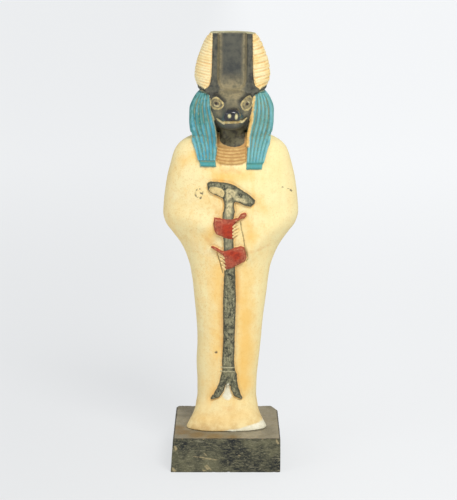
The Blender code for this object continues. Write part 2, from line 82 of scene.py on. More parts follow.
def made_of(mesh_name, vertices, faces):
    mesh = bpy.data.meshes.new(mesh_name)
    mesh.from_pydata([tuple(v) for v in vertices], [], faces)
    work = bmesh.new()
    work.from_mesh(mesh)
    bmesh.ops.recalc_face_normals(work, faces=work.faces)
    work.to_mesh(mesh)
    work.free()
    return mesh


def held(name, data):
    """An object in the scene for a mesh, a lamp or a camera."""
    holder = bpy.data.objects.new(name, data)
    bpy.context.scene.collection.objects.link(holder)
    return holder


def baked(holder):
    """The plain mesh that an object's modifiers make; the object is then taken away."""
    graph = bpy.context.evaluated_depsgraph_get()
    result = bpy.data.meshes.new_from_object(holder.evaluated_get(graph))
    holder.modifiers.clear()
    bpy.data.objects.remove(holder)
    return result


def with_modifiers(mesh, *steps):
    """The mesh after a chain of modifiers, each given as its type and its settings."""
    holder = held("bench", mesh)
    for kind, settings in steps:
        modifier = holder.modifiers.new(kind.lower(), kind)
        for name, value in settings.items():
            setattr(modifier, name, value)
    return baked(holder)


def places_of(mesh):
    flat = np.empty(len(mesh.vertices) * 3, np.float64)
    mesh.vertices.foreach_get("co", flat)
    return flat.reshape(-1, 3)


def normals_of(mesh):
    flat = np.empty(len(mesh.vertices) * 3, np.float32)
    mesh.vertex_normals.foreach_get("vector", flat)
    return flat.reshape(-1, 3).astype(np.float64)


def move_to(mesh, places):
    mesh.vertices.foreach_set("co", places.astype(np.float32).ravel())
    mesh.update()


def unevenness(places, size, seed):
    """A smooth random value from -1 to 1 at each place, in lumps of the given size."""
    shift = Vector((seed * 7.3, seed * 3.1, seed * 5.7))
    return np.array([noise.noise(Vector(place) / size + shift) for place in places])


def eased(value, low, high):
    share = np.clip((value - low) / (high - low), 0.0, 1.0)
    return share * share * (3 - 2 * share)


def note(mesh, name, values):
    """Keeps a value for each vertex, for the paint to read."""
    kept = mesh.attributes.new(name, "FLOAT", "POINT")
    kept.data.foreach_set("value", np.asarray(values, np.float32))


half_width, half_depth = PLINTH_WIDTH / 2, PLINTH_DEPTH / 2
plan = (
    (-half_width, -half_depth),
    (half_width, -half_depth),
    (half_width, half_depth - CHIPPED_CORNER[1]),
    (half_width - CHIPPED_CORNER[0], half_depth),
    (WORN_CORNER[0] - half_width, half_depth),
    (-half_width, half_depth - WORN_CORNER[1]),
)
top_share = {side: 1 - 2 * PLINTH_TAPER[side] / PLINTH_WIDTH for side in PLINTH_TAPER}
corners = [(x, y, 0.0) for x, y in plan]
corners += [(x * top_share[-1 if x < 0 else 1], y, PLINTH_HEIGHT) for x, y in plan]
walls = [(i, (i + 1) % 6, 6 + (i + 1) % 6, 6 + i) for i in range(6)]
block = made_of("plinth_block", corners, walls + [(5, 4, 3, 2, 1, 0), (6, 7, 8, 9, 10, 11)])
block = with_modifiers(block, ("BEVEL", {"width": 0.45, "segments": 2}))
block = with_modifiers(block, ("REMESH", {"mode": "VOXEL", "voxel_size": PLINTH_VOXEL}))
spots = places_of(block)
left_reach = half_width * (1 - spots[:, 2] / PLINTH_HEIGHT * (1 - top_share[-1]))
to_walls = np.stack([
    np.where(spots[:, 0] < 0, left_reach + spots[:, 0], half_width - spots[:, 0]),
    half_depth - np.abs(spots[:, 1]),
    np.minimum(spots[:, 2], PLINTH_HEIGHT - spots[:, 2]),
])
to_walls.sort(axis=0)
edge_gap = np.hypot(to_walls[0], to_walls[1])
flaking = np.clip(unevenness(spots, 2.6, 1) * 1.5 - 0.25, 0, 1) + 0.5 * np.clip(unevenness(spots, 0.9, 2), 0, 1)
bites = PLINTH_FLAKE * flaking * (1 - eased(edge_gap, 0.1, 1.7))
bites += 0.09 * (unevenness(spots, 9.0, 3) + 1) + 0.04 * (unevenness(spots, 1.6, 4) + 1)
spots -= normals_of(block) * bites[:, None]
foot = spots[:, 2] < 0.35
spots[foot, 2] = 0.0
spots[~foot, 2] = np.minimum(spots[~foot, 2], PLINTH_HEIGHT)
move_to(block, spots)
def best(*depths):
    return np.max(np.stack(depths), axis=0)


def in_stroke(points, stroke, half=None):
    """How far points lie inside a stroke of x, height and half width, or of one half width."""
    found = np.full(len(points), -1e9)
    for here, after in zip(stroke, stroke[1:]):
        start, along = np.array(here[:2]), np.array(after[:2]) - np.array(here[:2])
        t = np.clip(((points - start) @ along) / (along @ along), 0, 1)
        width = half if half is not None else here[2] + (after[2] - here[2]) * t
        found = np.maximum(found, width - np.linalg.norm(points - start - t[:, None] * along, axis=1))
    return found


def in_strokes(points, strokes, half=None):
    return best(*(in_stroke(points, stroke, half) for stroke in strokes))


note(block, "edge", edge_gap)
scraped = np.where(spots[:, 1] < 1 - half_depth, in_strokes(spots[:, (0, 2)], PLINTH_SCRAPES), OUTSIDE)
smeared = best(*(reach - np.hypot(spots[:, 0] - x, spots[:, 1] - y) for x, y, reach in PLINTH_SMEAR))
note(block, "scrape", np.maximum(scraped, OUTSIDE))
note(block, "smear", np.maximum(smeared, OUTSIDE))
block.transform(((MM, 0, 0, 0), (0, MM, 0, 0), (0, 0, MM, 0), (0, 0, 0, 1)))
plinth = held("worn_plinth", block)

# The node helpers below all work in the node tree at hand, which each new group or material becomes
tree = None


def fill(socket, value):
    """Sets a socket to a value, or links it to the socket that feeds it."""
    if isinstance(value, bpy.types.NodeSocket):
        tree.links.new(value, socket)
    else:
        socket.default_value = value


def lit(tone):
    """A tone of three numbers, on a scale of 255, turned into light; anything else is left as it is."""
    return painted(*tone) if isinstance(tone, tuple) and len(tone) == 3 else tone


def node(kind, inputs=None, **settings):
    """A node with its settings, each input given as a value or as the socket that feeds it."""
    made = tree.nodes.new(kind)
    for name, value in settings.items():
        setattr(made, name, value)
    for name, value in (inputs or {}).items():
        fill(made.inputs[name], value)
    return made


def math_of(operation, *values, clamp=False):
    return node("ShaderNodeMath", dict(enumerate(values)), operation=operation, use_clamp=clamp).outputs[0]


def times(first, second):
    return math_of("MULTIPLY", first, second)


def mixed(share, below, above):
    inputs = {0: share, 6: lit(below), 7: lit(above)}
    return node("ShaderNodeMix", inputs, data_type="RGBA", clamp_factor=True).outputs[2]


def tinted(base, *tints):
    """A colour with others laid over it in turn, each given as its share and its tone."""
    for share, tone in tints:
        base = mixed(share, base, tone)
    return base


def ramped(value, low, high, out_low=0.0, out_high=1.0):
    return node("ShaderNodeMapRange", {
        "Value": value, "From Min": low, "From Max": high, "To Min": out_low, "To Max": out_high,
    }, interpolation_type="SMOOTHSTEP").outputs["Result"]


def axes_of(vector):
    return node("ShaderNodeSeparateXYZ", {"Vector": vector}).outputs


def noise_of(scale, detail=3.0, roughness=0.55, distortion=0.0, stretch=None):
    where = node("ShaderNodeTexCoord").outputs["Object"]
    if stretch:
        where = node("ShaderNodeMapping", {"Vector": where, "Scale": stretch}).outputs[0]
    return node("ShaderNodeTexNoise", {
        "Vector": where, "Scale": scale, "Detail": detail, "Roughness": roughness, "Distortion": distortion,
    }, noise_dimensions="3D").outputs["Fac"]


def scaled(size):
    """A noise scale for lumps of a size in millimetres."""
    return math_of("DIVIDE", 1000.0, size)


def shader_group(name, inputs, output, kind):
    """A node group with named sockets: a number socket for a number, a colour for four of them."""
    global tree
    tree = bpy.data.node_groups.new(name, "ShaderNodeTree")
    for label, value in inputs.items():
        of_kind = "NodeSocketFloat" if isinstance(value, (int, float)) else "NodeSocketColor"
        tree.interface.new_socket(label, in_out="INPUT", socket_type=of_kind).default_value = value
    tree.interface.new_socket(output, in_out="OUTPUT", socket_type=kind)
    return tree, tree.nodes.new("NodeGroupInput").outputs, tree.nodes.new("NodeGroupOutput").inputs[output]


# Mottled colour: two tones in soft patches, with a finer grain over them
mottle, given, out = shader_group("mottled stone", {
    "Light": painted(240, 222, 165), "Dark": painted(225, 190, 130), "Patch": 9.0, "Grain": 0.8, "Cover": 0.5,
}, "Color", "NodeSocketColor")
patches = times(noise_of(scaled(given["Patch"]), 4.0, 0.6), 0.75)
grain = times(noise_of(scaled(given["Grain"]), 3.0, 0.7), 0.25)
share = ramped(math_of("SUBTRACT", math_of("ADD", patches, grain), given["Cover"]), -0.10, 0.12)
fill(out, mixed(share, given["Light"], given["Dark"]))

# A brushed edge: a mask from a distance to the edge of a painted area, wandering as a hand does
brushed, given, out = shader_group("brushed edge", {
    "Distance": 0.0, "Wander": 0.25, "Size": 1.6, "Softness": 0.12,
}, "Mask", "NodeSocketFloat")
wandering = math_of("SUBTRACT", noise_of(scaled(given["Size"]), 3.0), 0.5)
moved = math_of("MULTIPLY_ADD", wandering, times(given["Wander"], 4.0), given["Distance"])
fill(out, math_of("ADD", math_of("DIVIDE", moved, times(given["Softness"], 2.0)), 0.5, clamp=True))

# Flecks: a mask of where paint is rubbed away, and on the wig's crests of a painted highlight, more of them where
# Wear is high
wear_and_highlight_flecks, given, out = shader_group("rubbed paint", {
    "Wear": 0.3, "Size": 2.0, "Sharpness": 0.06,
}, "Mask", "NodeSocketFloat")
flecks = noise_of(scaled(given["Size"]), 6.0, 0.72, 0.3)
gone = math_of("SUBTRACT", math_of("ADD", flecks, given["Wear"]), 0.9)
fill(out, math_of("DIVIDE", gone, given["Sharpness"], clamp=True))


def grouped(group, **inputs):
    return node("ShaderNodeGroup", {name: lit(value) for name, value in inputs.items()}, node_tree=group).outputs[0]


def toned(light, dark, patch, grain, cover=0.5):
    return grouped(mottle, Light=light, Dark=dark, Patch=patch, Grain=grain, Cover=cover)


def kept(name):
    return node("ShaderNodeAttribute", attribute_name=name).outputs["Fac"]


def brushed_in(area, wander, size, softness):
    """A mask of an area that the mesh keeps, with a brushed edge."""
    return grouped(brushed, Distance=kept(area), Wander=wander, Size=size, Softness=softness)


def flecked(fleck_amount, size, sharpness):
    return grouped(wear_and_highlight_flecks, Wear=fleck_amount, Size=size, Sharpness=sharpness)


def material_with(name, roughness):
    global tree
    made = bpy.data.materials.new(name)
    made.use_nodes = True
    tree = made.node_tree
    shader = tree.nodes["Principled BSDF"]
    shader.inputs["Roughness"].default_value = roughness
    shader.inputs["Specular IOR Level"].default_value = 0.3
    return made, shader


def bumped(shader, relief, strength, distance):
    bump = node("ShaderNodeBump", {"Height": relief, "Strength": strength, "Distance": distance})
    fill(shader.inputs["Normal"], bump.outputs[0])


black_paint, shader = material_with("worn black paint on stone", 0.6)
strokes = ramped(noise_of(760.0, 6.0, 0.75, 0.3, (0.4, 0.4, 1.4)), 0.48, 0.62)
fine = ramped(noise_of(1500.0, 3.0, 0.7, 0.0, (0.6, 0.6, 1.2)), 0.56, 0.66, 0.0, 0.5)
scratches = ramped(noise_of(900.0, 2.0, 0.5, 0.6, (0.16, 0.16, 1.3)), 0.66, 0.72)
coat = tinted(
    toned((102, 100, 76), (28, 32, 32), 13.0, 0.5, 0.48),
    (times(strokes, 0.5), (140, 136, 106)),
    (fine, (160, 154, 124)),
    (times(scratches, 0.6), (164, 158, 130)),
)
dust = tinted(
    toned((166, 156, 132), (140, 132, 110), 14.0, 0.9),
    (times(brushed_in("smear", 1.2, 6.0, 2.2), 0.85), (138, 114, 74)),
    (times(flecked(0.32, 3.0, 0.2), 0.5), (112, 104, 86)),
)
up = axes_of(node("ShaderNodeNewGeometry").outputs["Normal"])["Z"]
edge = kept("edge")
arris = times(ramped(edge, 1.2, 0.4), ramped(up, 0.1, 0.4))
fleck_amount = math_of("MULTIPLY_ADD", ramped(edge, 0.2, 3.0, 1.0, 0.0), 0.13, 0.18)
fill(shader.inputs["Base Color"], tinted(
    coat,
    (times(ramped(up, 0.55, 0.9), 0.95), dust),
    (times(arris, 0.85), (58, 54, 44)),
    (times(flecked(fleck_amount, 2.2, 0.06), 0.85), (176, 154, 106)),
    (times(brushed_in("scrape", 0.25, 1.0, 0.2), 0.7), (184, 166, 124)),
))
bumped(shader, math_of("ADD", noise_of(900.0, 5.0, 0.7), times(strokes, 0.6)), 0.6, 0.0004)
fill(shader.inputs["Roughness"], ramped(strokes, 0.0, 1.0, 0.5, 0.72))
block.materials.append(black_paint)
block.shade_smooth()
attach(plinth, "root")
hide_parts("plinth")

# --------------------------------------------------------------------------------------------------
# The wrapped body: one block of soft pale stone, carved and rubbed smooth. The feet flare at the sole,
# the elbows push the cloth out at the sides, and the forearms lift it a little across the front.
# It is laid out on the carver's grid: a unit is 1 mm, the sole is at 0 and the flat top at 220.

SOLE = 20.0
# The figure's slight lean: height and x of its middle
MIDDLE_LINE = (
    (0, 0.5), (20, 0.75), (33, 1.0), (52, 2.15), (80, 2.6),
    (120, 2.85), (150, 3.15), (175, 3.35), (195, 3.75), (220, 3.9),
)
# Height, half width, reach to the front, reach to the back, and squareness
SHROUD = (
    (0.0, 23.0, 20.0, 17.5, 7.0),
    (1.5, 22.4, 19.8, 17.5, 6.6),
    (3.5, 21.2, 18.4, 17.0, 5.6),
    (6.5, 19.6, 16.0, 16.4, 4.4),
    (10.0, 18.1, 13.6, 15.8, 3.4),
    (13.0, 17.3, 12.0, 15.4, 2.8),
    (17.0, 16.8, 10.9, 15.2, 2.5),
    (26.0, 16.9, 10.4, 15.0, 2.5),
    (36.0, 17.6, 10.8, 15.0, 2.4),
    (47.0, 17.9, 11.3, 15.2, 2.4),
    (62.0, 18.9, 12.3, 15.8, 2.4),
    (76.0, 20.4, 13.4, 16.6, 2.4),
    (90.0, 22.3, 14.6, 17.4, 2.4),
    (98.0, 24.8, 15.8, 17.4, 2.35),
    (104.0, 27.7, 17.0, 17.2, 2.3),
    (110.0, 32.0, 18.0, 17.0, 2.3),
    (116.0, 36.2, 18.7, 17.0, 2.3),
    (121.5, 37.5, 19.0, 17.0, 2.3),
    (131.0, 36.8, 19.2, 17.4, 2.3),
    (141.0, 35.3, 18.8, 18.0, 2.3),
    (150.0, 33.1, 17.4, 18.2, 2.3),
    (156.0, 31.2, 15.6, 17.8, 2.3),
    (160.0, 28.3, 13.8, 17.0, 2.2),
    (162.5, 24.6, 12.2, 16.0, 2.2),
    (164.5, 20.0, 10.4, 14.6, 2.2),
    (166.0, 14.0, 8.5, 12.0, 2.2),
)
# Each forearm under the cloth: elbow, wrist, reach round its line, and how far it stands out
FOREARMS = (
    ((-33.0, 122.0), (-8.0, 115.0), 8.0, 1.2),
    ((33.0, 121.0), (9.0, 100.0), 8.0, 1.2),
)
# The feet by height: how far the toes are bowed, and how much narrower the heels are, as shares
FEET = ((0.0, 0.27, 0.22), (6.5, 0.16, 0.14), (13.0, 0.0, 0.0))
HEELS_START = -10.0
BODY_ROW = 1.2
BODY_SIDES = 110


def slope_at(stations, column, index):
    """The slope of a smooth curve through a table's rows that never overshoots them."""
    if index in (0, len(stations) - 1):
        return 0.0
    (before, here, after) = (stations[index + step] for step in (-1, 0, 1))
    into = (here[column] - before[column]) / (here[0] - before[0])
    out_of = (after[column] - here[column]) / (after[0] - here[0])
    return 0.0 if into * out_of <= 0 else 2 * into * out_of / (into + out_of)


def profile(stations, at):
    at = min(max(at, stations[0][0]), stations[-1][0])
    low = max(i for i, row in enumerate(stations[:-1]) if row[0] <= at)
    step = stations[low + 1][0] - stations[low][0]
    t = (at - stations[low][0]) / step
    found = []
    for column in range(1, len(stations[0])):
        start, end = stations[low][column], stations[low + 1][column]
        out_of, into = slope_at(stations, column, low) * step, slope_at(stations, column, low + 1) * step
        found.append(
            (2 * t**3 - 3 * t**2 + 1) * start + (t**3 - 2 * t**2 + t) * out_of
            + (3 * t**2 - 2 * t**3) * end + (t**3 - t**2) * into
        )
    return found


def power(value, exponent):
    return math.copysign(abs(value) ** exponent, value)


def skin_at(stations, x, z, facing):
    half, front, back, square = profile(stations, z)
    share = min(abs(x) / half, 1.0)
    return facing * (back if facing > 0 else front) * (1 - share**square) ** (1 / square)


def ring_of(stations, z, sides, inset=0.0):
    half, front, back, square = profile(stations, z)
    points = []
    for i in range(sides):
        turn = 2 * math.pi * i / sides
        reach = back if math.sin(turn) > 0 else front
        across, depth = power(math.cos(turn), 2 / square), power(math.sin(turn), 2 / square)
        points.append(((half - inset) * across, (reach - inset) * depth, z))
    return points


def heights(low, high, row):
    count = max(2, round((high - low) / row))
    return [low + (high - low) * i / count for i in range(count + 1)]


def lofted(name, rings):
    """A closed skin through rings of as many points each."""
    count = len(rings[0])
    vertices = [point for ring in rings for point in ring]
    faces = [
        (row * count + i, row * count + (i + 1) % count, (row + 1) * count + (i + 1) % count, (row + 1) * count + i)
        for row in range(len(rings) - 1) for i in range(count)
    ]
    faces += [tuple(range(count)), tuple(range(len(vertices) - count, len(vertices)))]
    return made_of(name, vertices, faces)


def forearm_rise(x, z):
    rise = 0.0
    for elbow, wrist, reach, lift in FOREARMS:
        start, along = Vector(elbow), Vector(wrist) - Vector(elbow)
        t = min(max((Vector((x, z)) - start).dot(along) / along.length_squared, 0.0), 1.0)
        near = max(0.0, 1 - (Vector((x, z)) - start - along * t).length / reach)
        rise = max(rise, lift * near * near * (3 - 2 * near))
    return rise


def footed(x, y, z):
    half, _, back, _ = profile(SHROUD, z)
    bow, narrowing = profile(FEET, z)
    if y < 0:
        y *= 1 - bow * (x / half) ** 2
    return x * (1 - narrowing * max(0.0, (y - HEELS_START) / (back - HEELS_START))), y


blocks = {"body": [], "wig": [], "border": [], "hair": [], "dark": [], "eyes": [], "collar": []}
rings = []
for z in heights(SHROUD[0][0], SHROUD[-1][0], BODY_ROW):
    half = profile(SHROUD, z)[0]
    ring = []
    for x, y, _ in ring_of(SHROUD, z, BODY_SIDES):
        lift = forearm_rise(x, z) * max(0.0, 1 - (abs(x) / half) ** 4) if y < 0 else 0.0
        x, y = footed(x, y, z)
        ring.append((x, y - lift, z))
    rings.append(ring)
blocks["body"].append(lofted("shroud", rings))

# --------------------------------------------------------------------------------------------------
# The wig: carved in one with the head, a smooth cap cut into upright rolls. Two lappets fall over the
# chest to plain hems and a third falls down the back. The rolls are laid by one geometry tree.

# Height, half width, reach to the front, reach to the back, and squareness
WIG = (
    (158.0, 20.0, 12.2, 16.8, 2.4),
    (162.0, 21.3, 13.2, 18.2, 2.4),
    (166.0, 22.8, 13.2, 19.0, 2.5),
    (172.0, 23.5, 12.9, 19.2, 2.5),
    (178.0, 23.5, 12.2, 19.0, 2.5),
    (184.0, 21.4, 10.8, 18.2, 2.5),
    (187.5, 19.0, 9.2, 16.6, 2.4),
    (190.6, 14.5, 6.8, 13.4, 2.3),
    (192.2, 10.0, 4.8, 10.0, 2.3),
)
# The hood's foot and crown, and the rows of its skin and of all strands
HOOD_SPAN = (158.0, 192.2)
HOOD_ROW = 1.2
HOOD_SIDES = 96
WIG_ROW = 1.5
ROLL_SIDES = 8
STRAND_CREST = 0.75
# A lappet strand's girth as a share of its pitch, and the pitch that it never goes under
STRAND_GIRTH = 0.535
THINNEST_PITCH = 1.3
HOOD_STRAND_SPAN = (150.0, 191.5)
HOOD_STRAND_GIRTH = 1.02
# The hem's roll: its height over the lappet's bottom, girth and crest
HEM_ROLL = (1.4, 1.45, 0.6)
HOOD_STRANDS = 34
LAPPET_STRANDS = 6
LAPPET_BOTTOMS = {-1: 148.8, 1: 147.4}
LAPPET_HEM = 3.0
LAPPET_TOP = 187.5
LAPPET_PROUD = 1.9
# The gold borders, right and left: height and girth, and the height at which each ends
BORDER_GIRTHS = {
    -1: ((159.0, 0.45), (186.0, 0.35)),
    1: ((159.0, 0.95), (172.0, 0.95), (178.0, 0.6), (186.0, 0.5)),
}
# Height, inner edge, outer edge
LAPPET_EDGES = (
    (146.5, 8.2, 17.4),
    (153.5, 8.5, 18.8),
    (160.0, 8.8, 20.7),
    (165.0, 9.1, 22.5),
    (170.0, 10.0, 23.5),
    (174.0, 10.9, 23.8),
    (178.0, 11.5, 23.5),
    (184.0, 12.0, 21.4),
    (188.0, 12.2, 18.8),
)
BORDER_TOPS = {-1: 177.0, 1: 185.5}
# Height, and how far the lappet on -x reaches further over the face
LEFT_LAPPET_REACH = ((152.0, 0.0), (158.0, 0.7), (168.0, 1.1), (175.0, 0.9), (181.0, 0.0))
BACK_FALL_HALF_WIDTH = 15.0
BACK_FALL_BOTTOM = 147.0
BACK_FALL_TOP = 168.0
BACK_FALL_PROUD = 1.4
# The opening for the face: height and half width
FACE_WINDOW = ((150.0, 7.9), (166.0, 8.6), (172.0, 9.8), (178.0, 11.1), (184.0, 11.8), (196.0, 12.0))
FACE_WINDOW_BACK = -5.0
FAR = 60.0


def wig_front(x, z):
    return min(skin_at(WIG, x, z, -1), skin_at(SHROUD, x, z, -1) - LAPPET_PROUD)


def wig_back(x, z):
    return max(skin_at(WIG, x, z, 1), skin_at(SHROUD, x, z, 1) + BACK_FALL_PROUD)


def lappet_edges(side, z):
    inner, outer = profile(LAPPET_EDGES, z)
    return inner - (profile(LEFT_LAPPET_REACH, z)[0] if side < 0 else 0.0), outer


tree = roll_tree = bpy.data.node_groups.new("carved rolls", "GeometryNodeTree")
for label, kind, value in (
    ("Lines", "NodeSocketGeometry", None), ("Sides", "NodeSocketInt", ROLL_SIDES),
    ("Step", "NodeSocketFloat", 0.5), ("Finish", "NodeSocketMaterial", None),
):
    socket = tree.interface.new_socket(label, in_out="INPUT", socket_type=kind)
    if value is not None:
        socket.default_value = value
tree.interface.new_socket("Rolls", in_out="OUTPUT", socket_type="NodeSocketGeometry")
given = tree.nodes.new("NodeGroupInput").outputs
girth = node("GeometryNodeInputNamedAttribute", {"Name": "girth"}, data_type="FLOAT").outputs["Attribute"]
curves = node("GeometryNodeMeshToCurve", {"Mesh": given["Lines"]}).outputs[0]
curves = node("GeometryNodeResampleCurve", {"Curve": curves, "Length": given["Step"]}, mode="LENGTH").outputs[0]
curves = node("GeometryNodeSetCurveRadius", {"Curve": curves, "Radius": girth}).outputs[0]
round_section = node("GeometryNodeCurvePrimitiveCircle", {"Resolution": given["Sides"], "Radius": 1.0}).outputs[0]
swept = node("GeometryNodeCurveToMesh", {"Curve": curves, "Profile Curve": round_section, "Fill Caps": True})
if "Scale" in swept.inputs:
    fill(swept.inputs["Scale"], girth)
solid_rolls = node("GeometryNodeRealizeInstances", {"Geometry": swept.outputs[0]}).outputs[0]
finished = node("GeometryNodeSetMaterial", {"Geometry": solid_rolls, "Material": given["Finish"]}).outputs[0]
fill(tree.nodes.new("NodeGroupOutput").inputs["Rolls"], finished)


def rolls_along(name, lines, step=0.6):
    """Round rolls along lines of x, y, z and girth, made by the geometry tree."""
    mesh = bpy.data.meshes.new(name)
    vertices, edges, girths = [], [], []
    for line in lines:
        start = len(vertices)
        vertices += [tuple(point[:3]) for point in line]
        girths += [point[3] for point in line]
        edges += [(start + i, start + i + 1) for i in range(len(line) - 1)]
    mesh.from_pydata(vertices, edges, [])
    note(mesh, "girth", girths)
    holder = held(name, mesh)
    modifier = holder.modifiers.new("rolls", "NODES")
    modifier.node_group = roll_tree
    given = {"Sides": ROLL_SIDES, "Step": step, "Finish": black_paint}
    for item in roll_tree.interface.items_tree:
        if item.in_out == "INPUT" and item.name in given:
            modifier[item.identifier] = given[item.name]
    result = baked(holder)
    return made_of(name, [v.co for v in result.vertices], [tuple(p.vertices) for p in result.polygons])


def tree_of(meshes):
    vertices, faces = [], []
    for mesh in meshes:
        start = len(vertices)
        vertices += [v.co.copy() for v in mesh.vertices]
        faces += [tuple(start + i for i in p.vertices) for p in mesh.polygons]
    return BVHTree.FromPolygons(vertices, faces)


def laid_on(skin, point, girth, crest):
    """Where the middle of a roll goes, so that it stands out of a skin by its crest."""
    spot, normal, _, _ = skin.find_nearest(Vector(point))
    return (*(spot - normal * (girth - crest)), girth)


cap = lofted("hood", [ring_of(WIG, z, HOOD_SIDES, STRAND_CREST) for z in heights(*HOOD_SPAN, HOOD_ROW)])
window = lofted("face_window", [
    [(-half, -FAR, z), (half, -FAR, z), (half, FACE_WINDOW_BACK, z), (-half, FACE_WINDOW_BACK, z)]
    for z, half in ((z, profile(FACE_WINDOW, z)[0]) for z in heights(150.0, 196.0, 2.0))
])
cutter = held("face_window", window)
cap = with_modifiers(cap, ("BOOLEAN", {"operation": "DIFFERENCE", "object": cutter, "solver": "EXACT"}))
bpy.data.objects.remove(cutter)
wig_forms = [cap]
for side, bottom in LAPPET_BOTTOMS.items():
    rings = []
    for z in heights(bottom, LAPPET_TOP, WIG_ROW):
        inner, outer = lappet_edges(side, z)
        outer -= STRAND_CREST
        back = wig_front(inner, z) + 5
        ring = []
        for i in range(17):
            x = inner + (outer - inner) * math.sin(math.pi / 2 * i / 16)
            ring.append((side * x, min(wig_front(x, z) + STRAND_CREST, back - 0.5), z))
        ring += [(side * x, back, z) for x in (outer - 0.4, (inner + outer) / 2, inner)]
        rings.append(ring)
    wig_forms.append(lofted("lappet", rings))
rings = []
for z in heights(BACK_FALL_BOTTOM, BACK_FALL_TOP, WIG_ROW):
    across = [BACK_FALL_HALF_WIDTH * (i / 12 - 1) for i in range(25)]
    ring = [(x, wig_back(x, z) - STRAND_CREST, z) for x in across]
    rings.append(ring + [(x, wig_back(0, z) - 7, z) for x in (BACK_FALL_HALF_WIDTH, 0, -BACK_FALL_HALF_WIDTH)])
wig_forms.append(lofted("back_fall", rings))
wig_skin = tree_of(wig_forms)

strands, hems, borders = [], [], []
for side, bottom in LAPPET_BOTTOMS.items():
    for k in range(LAPPET_STRANDS):
        line = []
        for z in heights(bottom + LAPPET_HEM + 0.4, LAPPET_TOP, WIG_ROW):
            inner, outer = lappet_edges(side, z)
            pitch = (outer - inner) / LAPPET_STRANDS
            share = (k + 0.5) / LAPPET_STRANDS
            share += 0.35 * eased(z, 158.0, 172.0) * (math.sin(share * math.pi / 2) - share)
            x = inner + share * (outer - inner)
            girth = STRAND_GIRTH * max(pitch, THINNEST_PITCH)
            line.append(laid_on(wig_skin, (side * x, wig_front(x, z), z), girth, STRAND_CREST))
        strands.append(line)
    rise, girth, crest = HEM_ROLL
    inner, outer = profile(LAPPET_EDGES, bottom)
    hems.append([
        laid_on(wig_skin, (side * x, wig_front(x, bottom + rise), bottom + rise), girth, crest)
        for x in heights(inner + 0.6, outer - 0.6, 0.8)
    ])
    line = []
    for z in heights(BORDER_GIRTHS[side][0][0], BORDER_TOPS[side], 1.2):
        inner = lappet_edges(side, z)[0]
        line.append((side * (inner - 0.05), wig_front(inner, z) + 0.75, z, profile(BORDER_GIRTHS[side], z)[0]))
    borders.append(line)
for k in range(HOOD_STRANDS):
    turn = math.pi * (k + 0.5) / HOOD_STRANDS
    line = []
    for z in heights(*HOOD_STRAND_SPAN, WIG_ROW):
        half, front, back, square = profile(WIG, z)
        x, y = half * power(math.cos(turn), 1.7 / square), back * power(math.sin(turn), 2 / square)
        if z < 164 and abs(x) > BACK_FALL_HALF_WIDTH - 1:
            continue
        if z < 166:
            y = wig_back(x, z)
        line.append(laid_on(wig_skin, (x, y, z), HOOD_STRAND_GIRTH, STRAND_CREST))
    strands.append(line)
blocks["wig"] += wig_forms + [rolls_along("strands", strands), rolls_along("hems", hems)]
blocks["border"].append(rolls_along("borders", borders, step=0.4))

# --------------------------------------------------------------------------------------------------
# The head: a jackal's, with a short squared muzzle, painted black. The lips, nostrils, brows and the
# rings round the eyes are carved lightly, and picked out in cream and gold.

# From front to back: y, top, bottom, half width above and below, squareness
HEAD = (
    (-27.4, 179.4, 175.6, 2.4, 2.6, 2.6),
    (-26.6, 180.3, 174.4, 3.5, 4.1, 3.0),
    (-24.6, 180.9, 173.5, 3.9, 5.2, 3.4),
    (-21.0, 182.0, 173.5, 3.7, 6.7, 3.6),
    (-18.0, 183.4, 174.1, 4.1, 8.2, 3.6),
    (-15.6, 185.2, 174.6, 6.0, 9.3, 3.4),
    (-13.2, 187.0, 173.0, 9.6, 9.8, 3.0),
    (-10.5, 188.7, 170.0, 11.3, 10.6, 3.2),
    (-8.0, 189.8, 166.6, 12.3, 11.0, 3.4),
    (-5.0, 190.8, 166.0, 13.0, 12.3, 3.6),
    (6.0, 190.8, 166.0, 13.0, 12.3, 3.6),
)
# The jaw, as the head
JAW = (
    (-25.8, 173.2, 171.3, 3.0, 2.0, 2.6),
    (-24.8, 173.6, 170.0, 4.6, 2.8, 2.8),
    (-21.0, 174.2, 169.1, 6.3, 3.6, 2.8),
    (-17.0, 175.0, 168.4, 7.8, 4.4, 2.8),
    (-13.0, 175.4, 168.0, 8.8, 5.4, 2.8),
    (-8.0, 175.4, 166.4, 9.4, 6.4, 2.8),
)
# The throat, as the wig
THROAT = (
    (155.0, 7.2, 12.6, 10.0, 2.6),
    (160.0, 7.4, 12.4, 10.0, 2.6),
    (166.0, 7.8, 11.8, 10.0, 2.6),
    (172.0, 8.2, 11.6, 10.0, 2.6),
)
BROWS = (((9.9, 186.9), (7.2, 185.9), (4.0, 184.0)), ((-9.4, 187.2), (-7.0, 186.2), (-4.0, 184.0)))
HEAD_ROW = 0.5
# The nose: middle and radii
NOSE = ((0.0, -26.3, 178.0), (3.9, 1.7, 2.3))
# The rings round the eyes, as seen from the front
EYES = (
    (
        (-11.3, 182.6), (-10.4, 184.6), (-8.5, 185.4), (-6.3, 184.6), (-4.6, 182.2), (-5.9, 180.3),
        (-8.4, 179.7), (-10.6, 180.5),
    ),
    ((5.2, 182.1), (6.5, 184.5), (9.2, 186.0), (10.9, 184.5), (10.9, 181.4), (8.7, 179.3), (6.3, 179.8)),
)
IRISES = (
    ((-10.1, 182.7), (-9.4, 183.8), (-8.0, 184.1), (-6.5, 182.7), (-7.2, 181.2), (-8.9, 181.1)),
    ((6.7, 181.9), (7.5, 183.6), (9.0, 184.2), (9.8, 183.0), (9.2, 181.2), (7.8, 180.8)),
)
# x and height
PUPILS = ((-8.3, 182.6), (8.3, 182.4))
# x, height, half width and half height
NOSTRILS = ((-1.2, 177.2, 0.85, 1.05), (2.5, 176.8, 0.75, 1.5))


